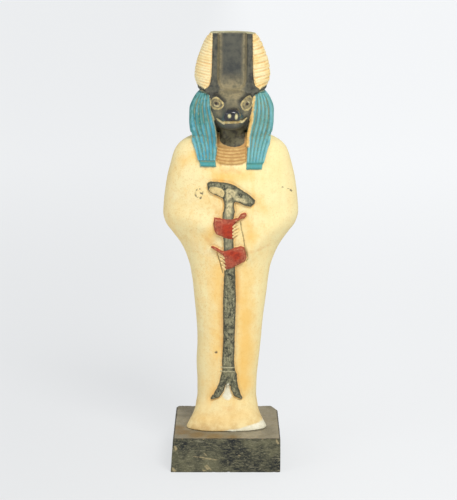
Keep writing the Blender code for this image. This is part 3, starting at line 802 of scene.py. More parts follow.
def muzzle(name, stations, sides):
    rings = []
    for y in heights(stations[0][0], stations[-1][0], HEAD_ROW):
        high, low, upper, lower, square = profile(stations, y)
        ring = []
        for i in range(sides):
            turn = 2 * math.pi * (i + 0.5) / sides
            rise = power(math.sin(turn), 2 / square)
            half = lower + (upper - lower) * (rise + 1) / 2
            ring.append((half * power(math.cos(turn), 2 / square), y, (low + high) / 2 + (high - low) / 2 * rise))
        rings.append(ring)
    return lofted(name, rings)


def lump(middle, radii):
    mesh = bpy.data.meshes.new("lump")
    work = bmesh.new()
    bmesh.ops.create_uvsphere(work, u_segments=20, v_segments=12, radius=1)
    for vertex in work.verts:
        vertex.co = Vector([m + r * c for m, r, c in zip(middle, radii, vertex.co)])
    work.to_mesh(mesh)
    work.free()
    return mesh


def carved_front(skin, x, z):
    """The front of the carving at x and z, as seen from straight ahead."""
    hit = skin.ray_cast(Vector((x, -FAR, z)), Vector((0, 1, 0)))[0]
    return hit if hit else Vector((x, -10, z))


def front_roll(skin, points, girth, crest, closed=False):
    """A line for a roll that follows the carving's front through points of x and z."""
    count = len(points)
    corners = [Vector(point) for point in points]
    line = []
    for i in range(count if closed else count - 1):
        before, start, end, after = (
            corners[k % count if closed else min(max(k, 0), count - 1)] for k in (i - 1, i, i + 1, i + 2)
        )
        for t in (0.0, 0.25, 0.5, 0.75):
            line.append(0.5 * (
                2 * start + (end - before) * t + (2 * before - 5 * start + 4 * end - after) * t**2
                + (3 * start - before - 3 * end + after) * t**3
            ))
    line.append(corners[0] if closed else corners[-1])
    return [laid_on(skin, carved_front(skin, *spot), girth, crest) for spot in line]


head_forms = [
    muzzle("head", HEAD, 96), muzzle("jaw", JAW, 72),
    lofted("throat", [ring_of(THROAT, z, 60) for z in heights(THROAT[0][0], THROAT[-1][0], 1.0)]),
    lump(*NOSE),
]
face = tree_of(head_forms)
blocks["dark"] += head_forms
blocks["dark"].append(rolls_along("brows", [front_roll(face, brow, 1.1, 0.75) for brow in BROWS]))
for x, z in PUPILS:
    blocks["dark"].append(lump(carved_front(face, x, z) + Vector((0, 0.25, 0)), (0.75, 0.6, 0.7)))
eye_lines = [front_roll(face, ring, 0.52, 0.40, closed=True) for ring in EYES]
eye_lines += [front_roll(face, ring, 0.40, 0.28, closed=True) for ring in IRISES]
blocks["eyes"].append(rolls_along("eye_rings", eye_lines, step=0.3))
for x, z, wide, high in NOSTRILS:
    blocks["dark"].append(lump(carved_front(face, x, z) + Vector((0, 0.35, 0)), (wide, 0.7, high)))

# --------------------------------------------------------------------------------------------------
# The ears: tall and upright, sawn off flat on top, with a web of stone left between them. Each has a
# plain black bar along its inner edge, and cream hair in ribs that turn round its outer edge.

# Height and half width over both ears
EAR_OUTLINE = (
    (186.8, 12.4),
    (187.4, 14.6),
    (188.4, 17.2),
    (189.6, 18.9),
    (191.5, 19.9),
    (194.0, 20.5),
    (197.0, 20.9),
    (200.0, 20.7),
    (203.0, 20.2),
    (206.0, 19.4),
    (209.0, 18.3),
    (212.0, 17.1),
    (215.0, 15.8),
    (218.0, 13.9),
    (220.0, 12.0),
)
FIGURE_TOP = 220.0
# The hair's inner edge: height and x
HAIR_EDGE = (
    (189.8, 14.9), (190.5, 13.6), (191.3, 12.8), (193.4, 12.0), (196.2, 11.6), (200.0, 11.3), (220.0, 10.9),
)
HAIR_BOTTOM = 189.8
HAIR_RIM = 1.5
HAIR_TURN = 0.45
SHELL_INSET = 1.1
EAR_INNER = 7.6
EAR_BAR = 10.9
EAR_BAR_BOTTOM = 183.0
EAR_ROW = 0.8
EAR_FRONT = 9.4
EAR_HAIR_FRONT = 8.3
EAR_BACK = 11.8
EAR_FRONT_SQUARE = 1.65
EAR_BACK_SQUARE = 2.4
EAR_RIBS = 20
EAR_RIB_CREST = 0.5
EAR_RIB_RISE = 2.0
# The web between the ears: height and reach to the front
WEB = ((184.0, 9.2), (188.0, 9.3), (190.5, 9.2), (193.0, 8.9), (197.0, 8.6), (203.0, 8.4), (220.0, 8.4))


def ear_plan(turn, z, inset=0.0, hair=True):
    """A point of an ear's plan: turn goes from its front at -1 to its back at 1."""
    inner = profile(HAIR_EDGE, z)[0] if hair else EAR_BAR
    rim = HAIR_RIM * (1 - eased(z, 190.0, 197.0)) if hair else 0.0
    outer = max(profile(EAR_OUTLINE, z - rim)[0] - inset, inner + 0.3)
    square, reach = (EAR_FRONT_SQUARE, EAR_HAIR_FRONT) if turn < 0 else (EAR_BACK_SQUARE, EAR_BACK)
    angle = turn * math.pi / 2
    share, depth = power(math.cos(angle), 2 / square), power(math.sin(angle), 2 / square)
    return inner + (outer - inner) * share, (reach - inset) * depth, z


ribs = []
for side in (-1, 1):
    rings = []
    for z in heights(HAIR_BOTTOM, FIGURE_TOP, EAR_ROW):
        ring = [ear_plan(-1 + (1 + HAIR_TURN) * i / 22, z, EAR_RIB_CREST) for i in range(23)]
        rings.append([(side * x, y, z) for x, y, z in ring + [(profile(HAIR_EDGE, z)[0], ring[-1][1], z)]])
    hair = lofted("ear_hair", rings)
    hair_skin = tree_of([hair])
    blocks["hair"].append(hair)
    rings = []
    for z in heights(EAR_OUTLINE[0][0], FIGURE_TOP, EAR_ROW):
        inset = SHELL_INSET * eased(z, 188.5, 193.0)
        ring = [ear_plan(i / 14 - 1, z, inset, hair=False) for i in range(29)]
        ring += [(EAR_INNER + 1, EAR_BACK - 0.4, z), (EAR_INNER + 1, -5.0, z)]
        rings.append([(side * x, y, z) for x, y, z in ring])
    blocks["dark"].append(lofted("ear_shell", rings))
    rings = []
    for z in heights(EAR_BAR_BOTTOM, FIGURE_TOP, EAR_ROW):
        edge = min(profile(HAIR_EDGE, z)[0], profile(EAR_OUTLINE, z)[0]) - 0.25
        middle, half = (EAR_INNER + edge) / 2, (edge - EAR_INNER) / 2
        ring = [
            (side * (middle + half * power(math.cos(t), 0.5)), -EAR_FRONT + 3 + 3 * power(math.sin(t), 0.5), z)
            for t in (math.pi * (1 + i / 16) for i in range(17))
        ]
        rings.append(ring + [(side * (middle + half), EAR_BACK - 1, z), (side * (middle - half), EAR_BACK - 1, z)])
    blocks["dark"].append(lofted("ear_bar", rings))
    pitch = (FIGURE_TOP - HAIR_BOTTOM) / EAR_RIBS
    for k in range(EAR_RIBS):
        line = []
        for i in range(25):
            turn = -0.96 + (0.94 + HAIR_TURN) * i / 24
            rise = EAR_RIB_RISE * min(1.0, (turn + 0.96) / 0.9)
            wave = 0.3 * math.sin(2.4 * k + 2.5 * turn) if side > 0 else 0.12 * math.sin(1.7 * k + 3 * turn)
            x, y, z = ear_plan(turn, min(HAIR_BOTTOM + pitch * (k + 0.2) + rise + wave, FIGURE_TOP - 0.3))
            line.append(laid_on(hair_skin, (side * x, y, z), 0.54 * pitch, EAR_RIB_CREST))
        ribs.append(line)
blocks["hair"].append(rolls_along("ear_ribs", ribs))
rings = []
for z in heights(WEB[0][0], FIGURE_TOP, 1.0):
    front = profile(WEB, z)[0]
    rings.append([(x, -front, z) for x in (-8.6, -4.3, 0.0, 4.3, 8.6)] + [(8.6, 10.4, z), (-8.6, 10.4, z)])
blocks["dark"].append(lofted("web", rings))

# --------------------------------------------------------------------------------------------------
# The collar: shallow level rolls in the gap between the lappets, left the colour of the stone.

COLLAR_ROWS = 5
COLLAR_TOP = 158.0
COLLAR_PITCH = 1.7
COLLAR_HALF_WIDTH = 7.6
# How far a row rises at the edges, over the half width at which it does
COLLAR_SAG = (0.9, 7.4)
COLLAR_GIRTH = 0.92
COLLAR_CREST = 0.62
chest = tree_of(blocks["body"])
rows = []
for k in range(COLLAR_ROWS):
    z = COLLAR_TOP - k * COLLAR_PITCH
    across = heights(-COLLAR_HALF_WIDTH, COLLAR_HALF_WIDTH, 1.5)
    points = [(x, z - 0.5 + COLLAR_SAG[0] * (x / COLLAR_SAG[1]) ** 2) for x in across]
    rows.append(front_roll(chest, points, COLLAR_GIRTH, COLLAR_CREST))
blocks["collar"].append(rolls_along("collar_rolls", rows))

# --------------------------------------------------------------------------------------------------
# The carving out of one block: all forms are one solid. The sceptre, hands and fingers are then cut in
# low relief on the front, with the mouth, the panel between the ears and the worn, hand-cut surface.

CARVING_STEP = 0.31
FACES_KEPT = 190000
# The heights between which the front has relief, and how far each form stands out
RELIEF_SPAN = (13.0, 145.0)
SCEPTRE_RELIEF = 1.3
HAND_RELIEF = 2.3
THUMB_RELIEF = 1.9
FINGER_RELIEF = 0.8
# Outline of the sceptre's slanted head and neck, in x and height
SCEPTRE_HEAD = (
    (-12.9, 139.7), (-12.3, 140.6), (-11.0, 140.9), (-7.3, 140.7), (-2.8, 140.3), (0.9, 139.3), (5.3, 136.7),
    (9.8, 133.6), (13.2, 130.7), (12.8, 128.6), (10.9, 126.9), (7.6, 127.7), (5.0, 129.0), (2.4, 129.7),
    (1.8, 128.8), (1.8, 127.0), (2.3, 124.5), (1.9, 122.4), (1.4, 119.0), (-4.6, 119.0), (-4.3, 123.6),
    (-3.6, 126.2), (-3.6, 129.0), (-4.3, 131.4), (-6.4, 132.7), (-9.0, 133.7), (-10.9, 134.6), (-12.6, 136.4),
)
# Strokes of x, height and half width
STAFF = (
    (-1.3, 118.0, 2.9), (-1.0, 105.0, 2.7), (-0.3, 91.0, 3.0), (-0.3, 88.0, 3.1), (-0.3, 74.0, 3.6),
    (-0.2, 51.0, 3.2), (0.2, 38.0, 3.4), (0.6, 35.0, 3.4), (0.9, 30.0, 3.6), (0.9, 26.5, 2.6),
)
TINES = (
    (
        (-1.2, 33.0, 1.6), (-1.9, 29.0, 1.8), (-2.5, 25.5, 1.8), (-3.5, 22.0, 2.1), (-5.4, 18.8, 1.9),
        (-8.2, 16.7, 0.8),
    ),
    ((2.6, 33.0, 1.6), (3.6, 30.0, 1.9), (3.8, 26.0, 2.0), (4.3, 22.6, 2.2), (5.7, 19.2, 1.9), (8.1, 16.8, 0.8)),
)
# The upper hand and the lower one: their outlines, then the strokes of their thumbs and fingers
HANDS = (
    (
        (-8.9, 121.2), (-6.4, 120.9), (-4.2, 120.6), (-1.3, 120.3), (1.7, 120.3), (3.7, 120.3), (2.6, 118.6),
        (2.2, 117.0), (2.1, 114.5), (2.1, 112.0), (2.4, 109.7), (0.6, 109.2), (-1.3, 109.4), (-3.5, 110.0),
        (-5.7, 111.0), (-7.6, 111.7), (-8.8, 114.2), (-9.4, 117.9),
    ), (
        (-4.4, 100.9), (-2.8, 102.4), (-0.3, 103.2), (2.8, 104.3), (5.9, 105.0), (7.7, 104.1), (8.5, 101.2),
        (8.9, 98.4), (7.8, 96.0), (5.3, 94.6), (2.8, 93.3), (-0.3, 92.2), (-2.8, 91.6), (-3.4, 94.6), (-4.0, 97.7),
    ),
)
THUMBS = (
    ((2.6, 119.5, 1.1), (4.5, 120.3, 0.7), (5.6, 121.2, 1.1), (6.7, 122.0, 1.55), (7.4, 122.5, 1.3)),
    ((-2.4, 101.2, 1.3), (-4.6, 101.2, 1.0), (-6.8, 102.5, 0.9), (-8.6, 103.7, 0.9), (-9.9, 104.3, 0.6)),
)
FINGERS = (
    ((1.7, 116.2), (3.6, 117.4)), ((1.6, 114.2), (3.8, 115.5)), ((1.6, 112.3), (3.7, 113.4)),
    ((1.7, 110.5), (3.5, 111.6)), ((-5.9, 99.9), (-3.7, 98.3)), ((-5.3, 97.5), (-3.5, 96.1)),
    ((-4.8, 95.2), (-3.3, 93.8)), ((-4.2, 92.9), (-3.0, 91.7)),
)
FINGER_HALF_WIDTH = 0.68
KNUCKLE_LINES = (
    ((1.0, 117.0), (3.2, 118.3)), ((1.0, 115.0), (3.4, 116.3)), ((1.0, 113.0), (3.4, 114.3)),
    ((1.0, 111.1), (3.2, 112.3)),
    ((1.6, 109.7), (3.4, 110.7)), ((-5.4, 98.6), (-3.0, 97.0)), ((-5.0, 96.3), (-2.9, 94.7)),
    ((-4.4, 94.0), (-2.7, 92.5)),
)
STAFF_RINGS = (((-3.5, 34.7), (4.0, 34.7)), ((-3.7, 32.4), (4.3, 32.4)))
MOUTH = (
    (-7.9, 173.8), (-6.2, 173.3), (-4.2, 172.8), (-3.7, 173.4), (0.5, 173.6), (4.9, 173.6), (5.8, 173.1),
    (7.0, 173.5), (8.2, 174.3),
)
PANEL = (
    (-7.7, 222.0), (-7.8, 195.0), (-7.2, 192.8), (-6.0, 190.7), (-4.0, 189.6), (0.0, 189.1),
    (4.1, 189.6), (6.3, 191.2), (7.3, 194.7), (7.4, 222.0),
)
PANEL_DEPTH = 1.1
WRIST_LINE = (
    (5.4, 118.6), (6.0, 114.2), (6.6, 111.7), (7.4, 108.0), (7.7, 105.0), (8.5, 102.0), (9.3, 99.4),
    (9.4, 97.4), (8.7, 96.2),
)
FINGER_LINE = ((-7.2, 101.0), (-6.6, 98.4), (-5.6, 95.4), (-4.9, 92.4), (-4.2, 89.4))


def inside(points, outline):
    """How far points of x and height lie inside an outline; less than 0 outside it."""
    corners = np.asarray(outline, float)
    nearest = np.full(len(points), 1e9)
    within = np.zeros(len(points), bool)
    for (x0, z0), (x1, z1) in zip(corners, np.roll(corners, -1, axis=0)):
        along = np.array((x1 - x0, z1 - z0))
        t = np.clip(((points - (x0, z0)) @ along) / (along @ along), 0, 1)
        nearest = np.minimum(nearest, np.linalg.norm(points - (x0, z0) - t[:, None] * along, axis=1))
        crossed = (z0 > points[:, 1]) != (z1 > points[:, 1])
        with np.errstate(divide="ignore", invalid="ignore"):
            at = x0 + (points[:, 1] - z0) * (x1 - x0) / (z1 - z0 if z1 != z0 else 1e-9)
        within ^= crossed & (points[:, 0] < at)
    return np.where(within, nearest, -nearest)


def inside_any(points, outlines):
    return best(*(inside(points, outline) for outline in outlines))


def in_sceptre(points):
    return best(inside(points, SCEPTRE_HEAD), in_strokes(points, (STAFF,) + TINES))


def neighbours_mean(values, edges, counts):
    total = np.zeros_like(values)
    for column in range(values.shape[1]):
        total[:, column] = np.bincount(edges[:, 0], values[edges[:, 1], column], len(values))
        total[:, column] += np.bincount(edges[:, 1], values[edges[:, 0], column], len(values))
    return total / counts[:, None]


def relaxed(places, edges, times, strength=0.5):
    counts = np.bincount(edges.ravel(), minlength=len(places)).astype(float)
    for _ in range(times):
        places = places + strength * (neighbours_mean(places, edges, counts) - places)
    return places


whole = bmesh.new()
for group in blocks.values():
    for mesh in group:
        whole.from_mesh(mesh)
rough = bpy.data.meshes.new("rough_block")
whole.to_mesh(rough)
whole.free()
carving = with_modifiers(rough, ("REMESH", {"mode": "VOXEL", "voxel_size": CARVING_STEP}))
edges = np.array([tuple(edge.vertices) for edge in carving.edges])
spots = relaxed(places_of(carving), edges, 1, 0.4)

front = np.flatnonzero((spots[:, 1] < -2) & (spots[:, 2] > RELIEF_SPAN[0]) & (spots[:, 2] < RELIEF_SPAN[1]))
seen = spots[front][:, (0, 2)]
sceptre, palms, thumbs = in_sceptre(seen), inside_any(seen, HANDS), in_strokes(seen, THUMBS)
ends = in_strokes(seen, FINGERS, FINGER_HALF_WIDTH)
raised = best(
    SCEPTRE_RELIEF * eased(sceptre, -0.35, 0.45) + 0.12 * np.clip(sceptre, 0, 2),
    HAND_RELIEF * eased(palms, -0.4, 0.9) * (0.88 + 0.12 * eased(palms, 0.5, 4.0)),
    THUMB_RELIEF * eased(thumbs, -0.3, 0.7),
    FINGER_RELIEF * eased(ends, -0.35, 0.75),
)
raised += 0.35 * eased(in_strokes(seen, STAFF_RINGS, 0.45), -0.2, 0.3)
raised -= 0.15 * eased(in_strokes(seen, KNUCKLE_LINES, 0.3), -0.3, 0.2)
raised -= 0.35 * eased(best(in_stroke(seen, WRIST_LINE, 0.45), in_stroke(seen, FINGER_LINE, 0.4)), -0.25, 0.3)
moat = best(sceptre, palms, thumbs, ends)
raised -= 0.35 * eased(moat, -1.5, -0.3) * (1 - eased(moat, -0.3, 0.1))
spots[front, 1] -= raised

muzzle_front = np.flatnonzero((spots[:, 1] < -14.2) & (spots[:, 2] > 171) & (spots[:, 2] < 178))
seen = spots[muzzle_front][:, (0, 2)]
spots[muzzle_front, 1] += 0.7 * eased(in_stroke(seen, MOUTH, 0.55), -0.4, 0.4)
panel_front = np.flatnonzero((spots[:, 1] < -5) & (spots[:, 2] > 188) & (np.abs(spots[:, 0]) < 8))
seen = spots[panel_front][:, (0, 2)]
spots[panel_front, 1] += PANEL_DEPTH * eased(inside(seen, PANEL), -0.5, 0.6)

top_plane = FIGURE_TOP - 0.05 - 0.8 * eased(spots[:, 0], 2.0, 16.0)
spots[:, 2] = np.minimum(spots[:, 2], np.where(spots[:, 2] > 205, top_plane, FIGURE_TOP))
move_to(carving, spots)
skin_normals = normals_of(carving)
lumps = 0.16 * unevenness(spots, 14.0, 5) + 0.07 * unevenness(spots, 4.5, 6) + 0.03 * unevenness(spots, 1.5, 7)
spots += skin_normals * (lumps - 0.16)[:, None]
spots[:, 2] = np.where(spots[:, 2] < 0.4, 0.0, spots[:, 2])
smooth = relaxed(spots, edges, 16)
hollow = np.einsum("ij,ij->i", smooth - spots, skin_normals)
move_to(carving, spots)
note(carving, "hollow", hollow)
share_kept = FACES_KEPT / (2 * len(carving.polygons))
carving = with_modifiers(carving, ("DECIMATE", {"ratio": share_kept}))

# --------------------------------------------------------------------------------------------------
# The paint: thin, matt and worn. Each colour is laid by its own edge, kept as a distance for every
# vertex and brushed by the material: turquoise, black, gold and cream, red and a grey green.

BARE_PATCHES = (
    (
        (-11.8, 136.9), (-11.3, 137.8), (-8.0, 138.0), (-5.4, 137.4), (-3.9, 136.1), (-3.4, 134.6),
        (-4.1, 132.2), (-5.7, 132.9), (-7.6, 134.1), (-9.8, 134.5), (-11.4, 135.5),
    ),
    (
        (-2.6, 136.9), (-1.3, 137.2), (1.6, 136.4), (3.5, 135.4), (2.4, 134.0), (1.9, 132.8), (-0.2, 131.8),
        (-1.8, 130.3), (-2.7, 131.3), (-2.7, 134.2),
    ),
    (
        (2.0, 132.2), (3.6, 133.5), (5.4, 131.8), (7.6, 131.4), (9.4, 129.9), (8.3, 128.9), (5.4, 129.9),
        (2.4, 130.4),
    ),
    (
        (-1.7, 129.6), (0.0, 130.7), (1.1, 129.2), (0.8, 126.0), (-0.2, 122.3), (-1.8, 121.5), (-2.6, 124.1),
        (-2.4, 127.5),
    ),
)
PATCH_LINES = (
    ((-7.7, 134.4), (-7.0, 136.8)), ((-5.9, 133.2), (-5.1, 136.2)),
    ((-1.8, 130.1), (-0.2, 131.6), (1.7, 132.6)), ((-3.1, 130.0), (-2.9, 133.5)),
)
THROAT_PAINT = (
    (-7.2, 171.0), (-6.4, 165.9), (-6.2, 162.0), (-5.0, 160.6), (-1.7, 159.4), (1.6, 158.9), (4.8, 159.3),
    (7.0, 160.8), (7.7, 165.9), (8.2, 171.0),
)
COLLAR_PAINT = (
    (-9.6, 166.0), (9.6, 166.0), (9.6, 152.0), (6.0, 149.8), (0.0, 149.2), (-6.0, 149.8), (-9.0, 152.0),
)
NOSE_PAINT = (
    (-4.9, 174.3), (-4.7, 176.4), (-3.4, 178.8), (-2.2, 180.6), (1.2, 181.1), (4.0, 180.5), (5.0, 178.6),
    (6.3, 176.8), (7.2, 175.4), (7.2, 174.2),
)
GLINTS = (((-9.3, 181.5), (-8.2, 181.1), (-7.1, 181.3)), ((8.6, 183.6), (9.3, 182.9)))
# Pale lines along the edges of the plain bars, and round the foot of the panel between them: rubbed paint, and a
# painted highlight on the edges
BAR_EDGES = (
    (
        (-7.7, 221.0, 0.3), (-7.8, 195.5, 0.35), (-7.2, 192.8, 0.6), (-6.0, 190.8, 0.8), (-4.0, 189.7, 0.9),
        (0.0, 189.2, 0.9),
    ),
    ((0.0, 189.2, 0.9), (4.1, 189.7, 0.9), (6.4, 191.4, 0.8), (7.3, 195.5, 0.35), (7.4, 221.0, 0.3)),
)
FORK_FILL = (
    (-2.4, 17.5), (-1.4, 21.0), (-0.6, 24.0), (0.8, 25.6), (1.6, 23.2), (2.3, 19.6), (3.0, 17.2), (1.0, 15.6),
    (-0.8, 15.9),
)
# Dark scratches and spots: short strokes of x, height and half width
MARKS = (
    ((-19.3, 134.9, 0.3), (-19.1, 133.2, 0.5), (-18.6, 132.2, 0.3)), ((-18.8, 135.7, 0.3), (-18.1, 136.3, 0.3)),
    ((-17.4, 136.8, 0.3), (-16.6, 136.4, 0.4)), ((-16.8, 134.9, 0.3), (-16.2, 134.2, 0.45)),
    ((-15.2, 135.2, 0.25), (-15.0, 133.4, 0.25)), ((-15.6, 132.3, 0.3), (-16.6, 131.3, 0.4)),
    ((-17.5, 131.9, 0.3), (-18.2, 132.1, 0.3)), ((27.8, 137.0, 0.35), (28.4, 136.7, 0.35)),
    ((31.0, 136.0, 0.2), (32.4, 135.0, 0.4), (33.6, 133.8, 0.35)), ((29.6, 159.5, 0.35), (30.4, 159.0, 0.4)),
    ((-7.0, 43.3, 0.75), (-6.7, 43.3, 0.75)),
)
# Soft brown strokes: painted shade along the lower edge of the forearm on +x, and stains round the hands and at the
# toes
STAINS = (
    # Painted shade along the lower edge of the forearm on +x
    ((9.4, 100.8, 0.5), (15.0, 102.4, 0.4), (21.5, 105.0, 0.1)),
    ((-13.5, 110.0, 0.3), (-11.5, 107.0, 1.2), (-9.5, 108.0, 0.6)),
    ((-18.5, 2.4, 0.6), (-8.0, 1.0, 1.5), (3.0, 0.4, 0.9)),
    ((-6.0, 146.0, 0.6), (0.0, 147.0, 1.4), (5.0, 145.6, 0.6)),
    ((4.5, 96.0, 0.3), (4.2, 84.0, 0.8), (4.4, 66.0, 0.4)),
    ((-4.6, 84.0, 0.3), (-4.8, 66.0, 0.9), (-4.4, 46.0, 0.5)),
    ((-9.0, 128.0, 0.4), (-7.0, 124.0, 1.0), (-5.2, 126.0, 0.3)),
    ((-2.0, 12.0, 0.5), (1.0, 10.5, 1.2), (4.0, 12.0, 0.4)),
)
# Broad soft stains, of the same kind
TINTS = (
    ((-9.0, 144.5, 1.5), (0.0, 143.5, 3.5), (9.0, 144.5, 1.5)),
    ((-15.0, 6.0, 0.5), (0.0, 6.4, 1.5), (12.0, 8.0, 0.5)),
    ((-13.0, 107.0, 1.0), (-9.5, 113.0, 2.5)), ((9.0, 119.0, 1.5), (11.0, 110.0, 2.5)),
    ((8.0, 94.0, 1.0), (9.0, 64.0, 4.0), (9.5, 24.0, 4.5)),
    ((-6.5, 92.0, 1.8), (-6.0, 66.0, 2.2), (-6.0, 42.0, 1.2)), ((14.0, 132.0, 1.0), (17.0, 126.0, 2.0)),
    ((-27.0, 150.0, 1.0), (-20.0, 154.0, 2.0)),
)
FOOT_CHIP = (
    (-3.4, -3.0), (-2.0, 0.0), (2.0, 0.9), (6.0, 1.3), (12.0, 2.6), (18.0, 3.6), (21.8, 3.9), (23.4, 2.0),
    (24.0, -3.0),
)
BRIGHT_RED = (
    ((-4.4, 117.6), (1.9, 118.4), (2.0, 110.0), (-1.6, 109.8), (-3.8, 110.9), (-4.5, 113.6)),
    (
        (-3.4, 101.3), (-0.6, 102.6), (3.4, 102.4), (6.2, 101.2), (5.2, 97.6), (2.4, 96.4), (1.0, 99.2),
        (-1.8, 100.2),
    ),
)
# Where the black on the face is brushed to brown: the forehead, the bridge of the muzzle and the cheeks; rubbed
# paint, and painted light on the up-facing forehead and bridge
WORN_AND_LIT_FACE = (
    (
        (-6.6, 190.0), (-6.9, 187.6), (-4.0, 185.2), (-3.0, 182.5), (-3.4, 181.2), (3.6, 181.2), (3.3, 182.5),
        (4.2, 185.4), (6.6, 187.6), (6.2, 190.0), (3.9, 188.6), (0.0, 188.2), (-4.0, 188.6),
    ),
    ((-9.6, 178.8), (-5.4, 179.6), (-4.9, 176.0), (-8.6, 175.4)),
    ((9.4, 178.6), (6.2, 178.6), (6.0, 176.6), (8.8, 176.6)),
)
# The softness of a clean brushed edge
CRISP = 0.14

spots = places_of(carving)
upper = np.flatnonzero(spots[:, 2] > 144.5)
gaps = {}
for name, meshes in blocks.items():
    finder = tree_of(meshes)
    found = np.full(len(spots), 0.0 if name == "body" else 5.0)
    found[upper] = [finder.find_nearest(Vector(spots[i]))[3] for i in upper]
    gaps[name] = found


def laid_in(*names):
    """How far each vertex lies inside the area of the named blocks, measured along the surface."""
    own = np.min([gaps[name] for name in names], axis=0)
    rest = np.min([gap for name, gap in gaps.items() if name not in names], axis=0)
    return np.clip(rest - own, -3, 3)


seen, forward, level = spots[:, (0, 2)], -spots[:, 1], spots[:, 2]
away = np.where(forward > 2, 0.0, OUTSIDE)
on_body = {
    "staff": in_sceptre(seen),
    "hand": best(inside_any(seen, HANDS), in_strokes(seen, THUMBS)),
    "ends": in_strokes(seen, FINGERS, FINGER_HALF_WIDTH),
    "bare": inside(seen, BARE_PATCHES[0]),
    "thin": inside_any(seen, BARE_PATCHES[1:]),
    "ribs": in_strokes(seen, PATCH_LINES, 0.22),
    "lines": best(in_stroke(seen, WRIST_LINE, 0.32), in_stroke(seen, FINGER_LINE, 0.28)),
    "marks": in_strokes(seen, MARKS),
    "stains_and_shade": in_strokes(seen, STAINS),
    "tint": in_strokes(seen, TINTS),
    "knuckles": in_strokes(seen, KNUCKLE_LINES, 0.34),
    "bright": inside_any(seen, BRIGHT_RED),
    "rings": in_strokes(seen, STAFF_RINGS, 0.4),
    "chalk": inside_any(seen, (FORK_FILL, FOOT_CHIP)),
}
on_face = {
    "sockets": inside_any(seen, EYES),
    "pupils": best(*(0.8 - np.hypot(seen[:, 0] - x, seen[:, 1] - z) for x, z in PUPILS)),
    "glints": in_strokes(seen, GLINTS, 0.3),
    # Painted shade: dark along the brows, over the deep-set eyes
    "brows": in_strokes(seen, BROWS, 0.85),
    "nostrils": best(*(
        wide * (1 - np.hypot((seen[:, 0] - x) / wide, (seen[:, 1] - z) / high)) for x, z, wide, high in NOSTRILS
    )),
}
throat_area = np.where((level > 150) & (forward > 2), inside(seen, THROAT_PAINT), -3)
areas = {name: area + away for name, area in on_body.items()}
areas.update({name: area + np.where(forward > 8, 0.0, OUTSIDE) for name, area in on_face.items()})
areas.update({
    "wig": laid_in("wig"), "gold": laid_in("border"), "hair": laid_in("hair"), "eyes": laid_in("eyes"),
    "dark": best(laid_in("dark"), np.clip(throat_area, -3, 3)),
    "collar": np.minimum(inside(seen, COLLAR_PAINT) + away, -laid_in("wig", "border", "dark")),
    "mouth": np.where((forward > 12) & (np.abs(level - 174) < 4), in_stroke(seen, MOUTH, 0.56), -3),
    # Pale lines on the bars' edges: rubbed paint and a painted highlight
    "trim": np.where(forward > 5, in_strokes(seen, BAR_EDGES), OUTSIDE),
    "nose": np.where(forward > 18.5, inside(seen, NOSE_PAINT), OUTSIDE),
    "panel": np.where((level > 186) & (forward > 5), inside(seen, PANEL), OUTSIDE),
    "brown": np.where(forward > 6, inside_any(seen, WORN_AND_LIT_FACE), OUTSIDE),
})
for name, area in areas.items():
    note(carving, name, np.clip(area, -6, 3))
spots[:, 0] += np.interp(spots[:, 2], np.arange(221), [profile(MIDDLE_LINE, z)[0] for z in range(221)])
spots[:, 2] += SOLE
move_to(carving, spots * MM)
figure = held("carved_figure", carving)

paint, shader = material_with("thin matt paint on pale stone", 0.7)
hollow = kept("hollow")
part = axes_of(node("ShaderNodeTexCoord").outputs["Object"])


def by_place(axis, low, high, least=0.0, most=1.0):
    """A share that changes across the figure, between two places in metres."""
    return ramped(part[axis], low, high, least, most)


def brush(base, *coats):
    """Lays coats of paint over a colour: each one's area, tone, wander, size, softness and strength."""
    return tinted(base, *(
        (times(brushed_in(area, wander, size, softness), strength), tone)
        for area, tone, wander, size, softness, strength in coats
    ))


def wear_and_highlight(base, tone, low, high, least, most, size, sharpness, strength):
    """Lays a tone in flecks, as the surface goes from one hollow or crest to another: rubbed wear, and on the wig a
    painted highlight.
    """
    return mixed(times(flecked(ramped(hollow, low, high, least, most), size, sharpness), strength), base, tone)


# Bare stone: cream, stained a deeper orange down the middle and round the carving, with painted light and shade
# across it
streaks = ramped(noise_of(160.0, 4.0, 0.6, 0.2, (1.0, 1.0, 0.16)), 0.42, 0.68)
# Painted shade: the side towards -x greyer, turned from the light
shaded_side = by_place("X", 0.004, -0.026, 0.0, 0.4)
colour = tinted(
    toned((248, 232, 176), (244, 208, 134), 11.0, 1.1),
    (0.5, toned((246, 228, 172), (222, 180, 108), 2.6, 0.5, 0.58)),
    (times(streaks, ramped(kept("staff"), -6.0, -0.5, 0.3, 0.9)), (245, 190, 98)),
    (shaded_side, (232, 218, 164)),
    # Painted light: the side towards +x paler
    (by_place("X", 0.014, 0.034, 0.0, 0.45), (253, 242, 190)),
    (times(flecked(0.36, 13.0, 0.3), 0.4), (254, 246, 208)),
    (times(flecked(0.33, 8.0, 0.22), 0.6), (240, 192, 108)),
    (ramped(noise_of(1300.0, 3.0, 0.7), 0.54, 0.70, 0.0, 0.5), (214, 168, 100)),
    # Painted light: paler again from the middle towards +x
    (by_place("X", -0.002, 0.012, 0.0, 0.3), (255, 240, 176)),
    # Painted shade: the legs greyer still towards -x
    (times(by_place("X", 0.002, -0.016), by_place("Z", 0.110, 0.060, 0.0, 0.4)), (216, 202, 152)),
)
colour = brush(
    colour,
    ("tint", (244, 190, 88), 1.6, 7.0, 3.2, 0.65),
    # Stains, and painted shade along the forearm's lower edge
    ("stains_and_shade", (222, 160, 86), 0.7, 3.0, 1.0, 0.4),
)
scuff = flecked(by_place("Z", 0.0290, 0.0205, 0.15, 0.52), 5.0, 0.35)
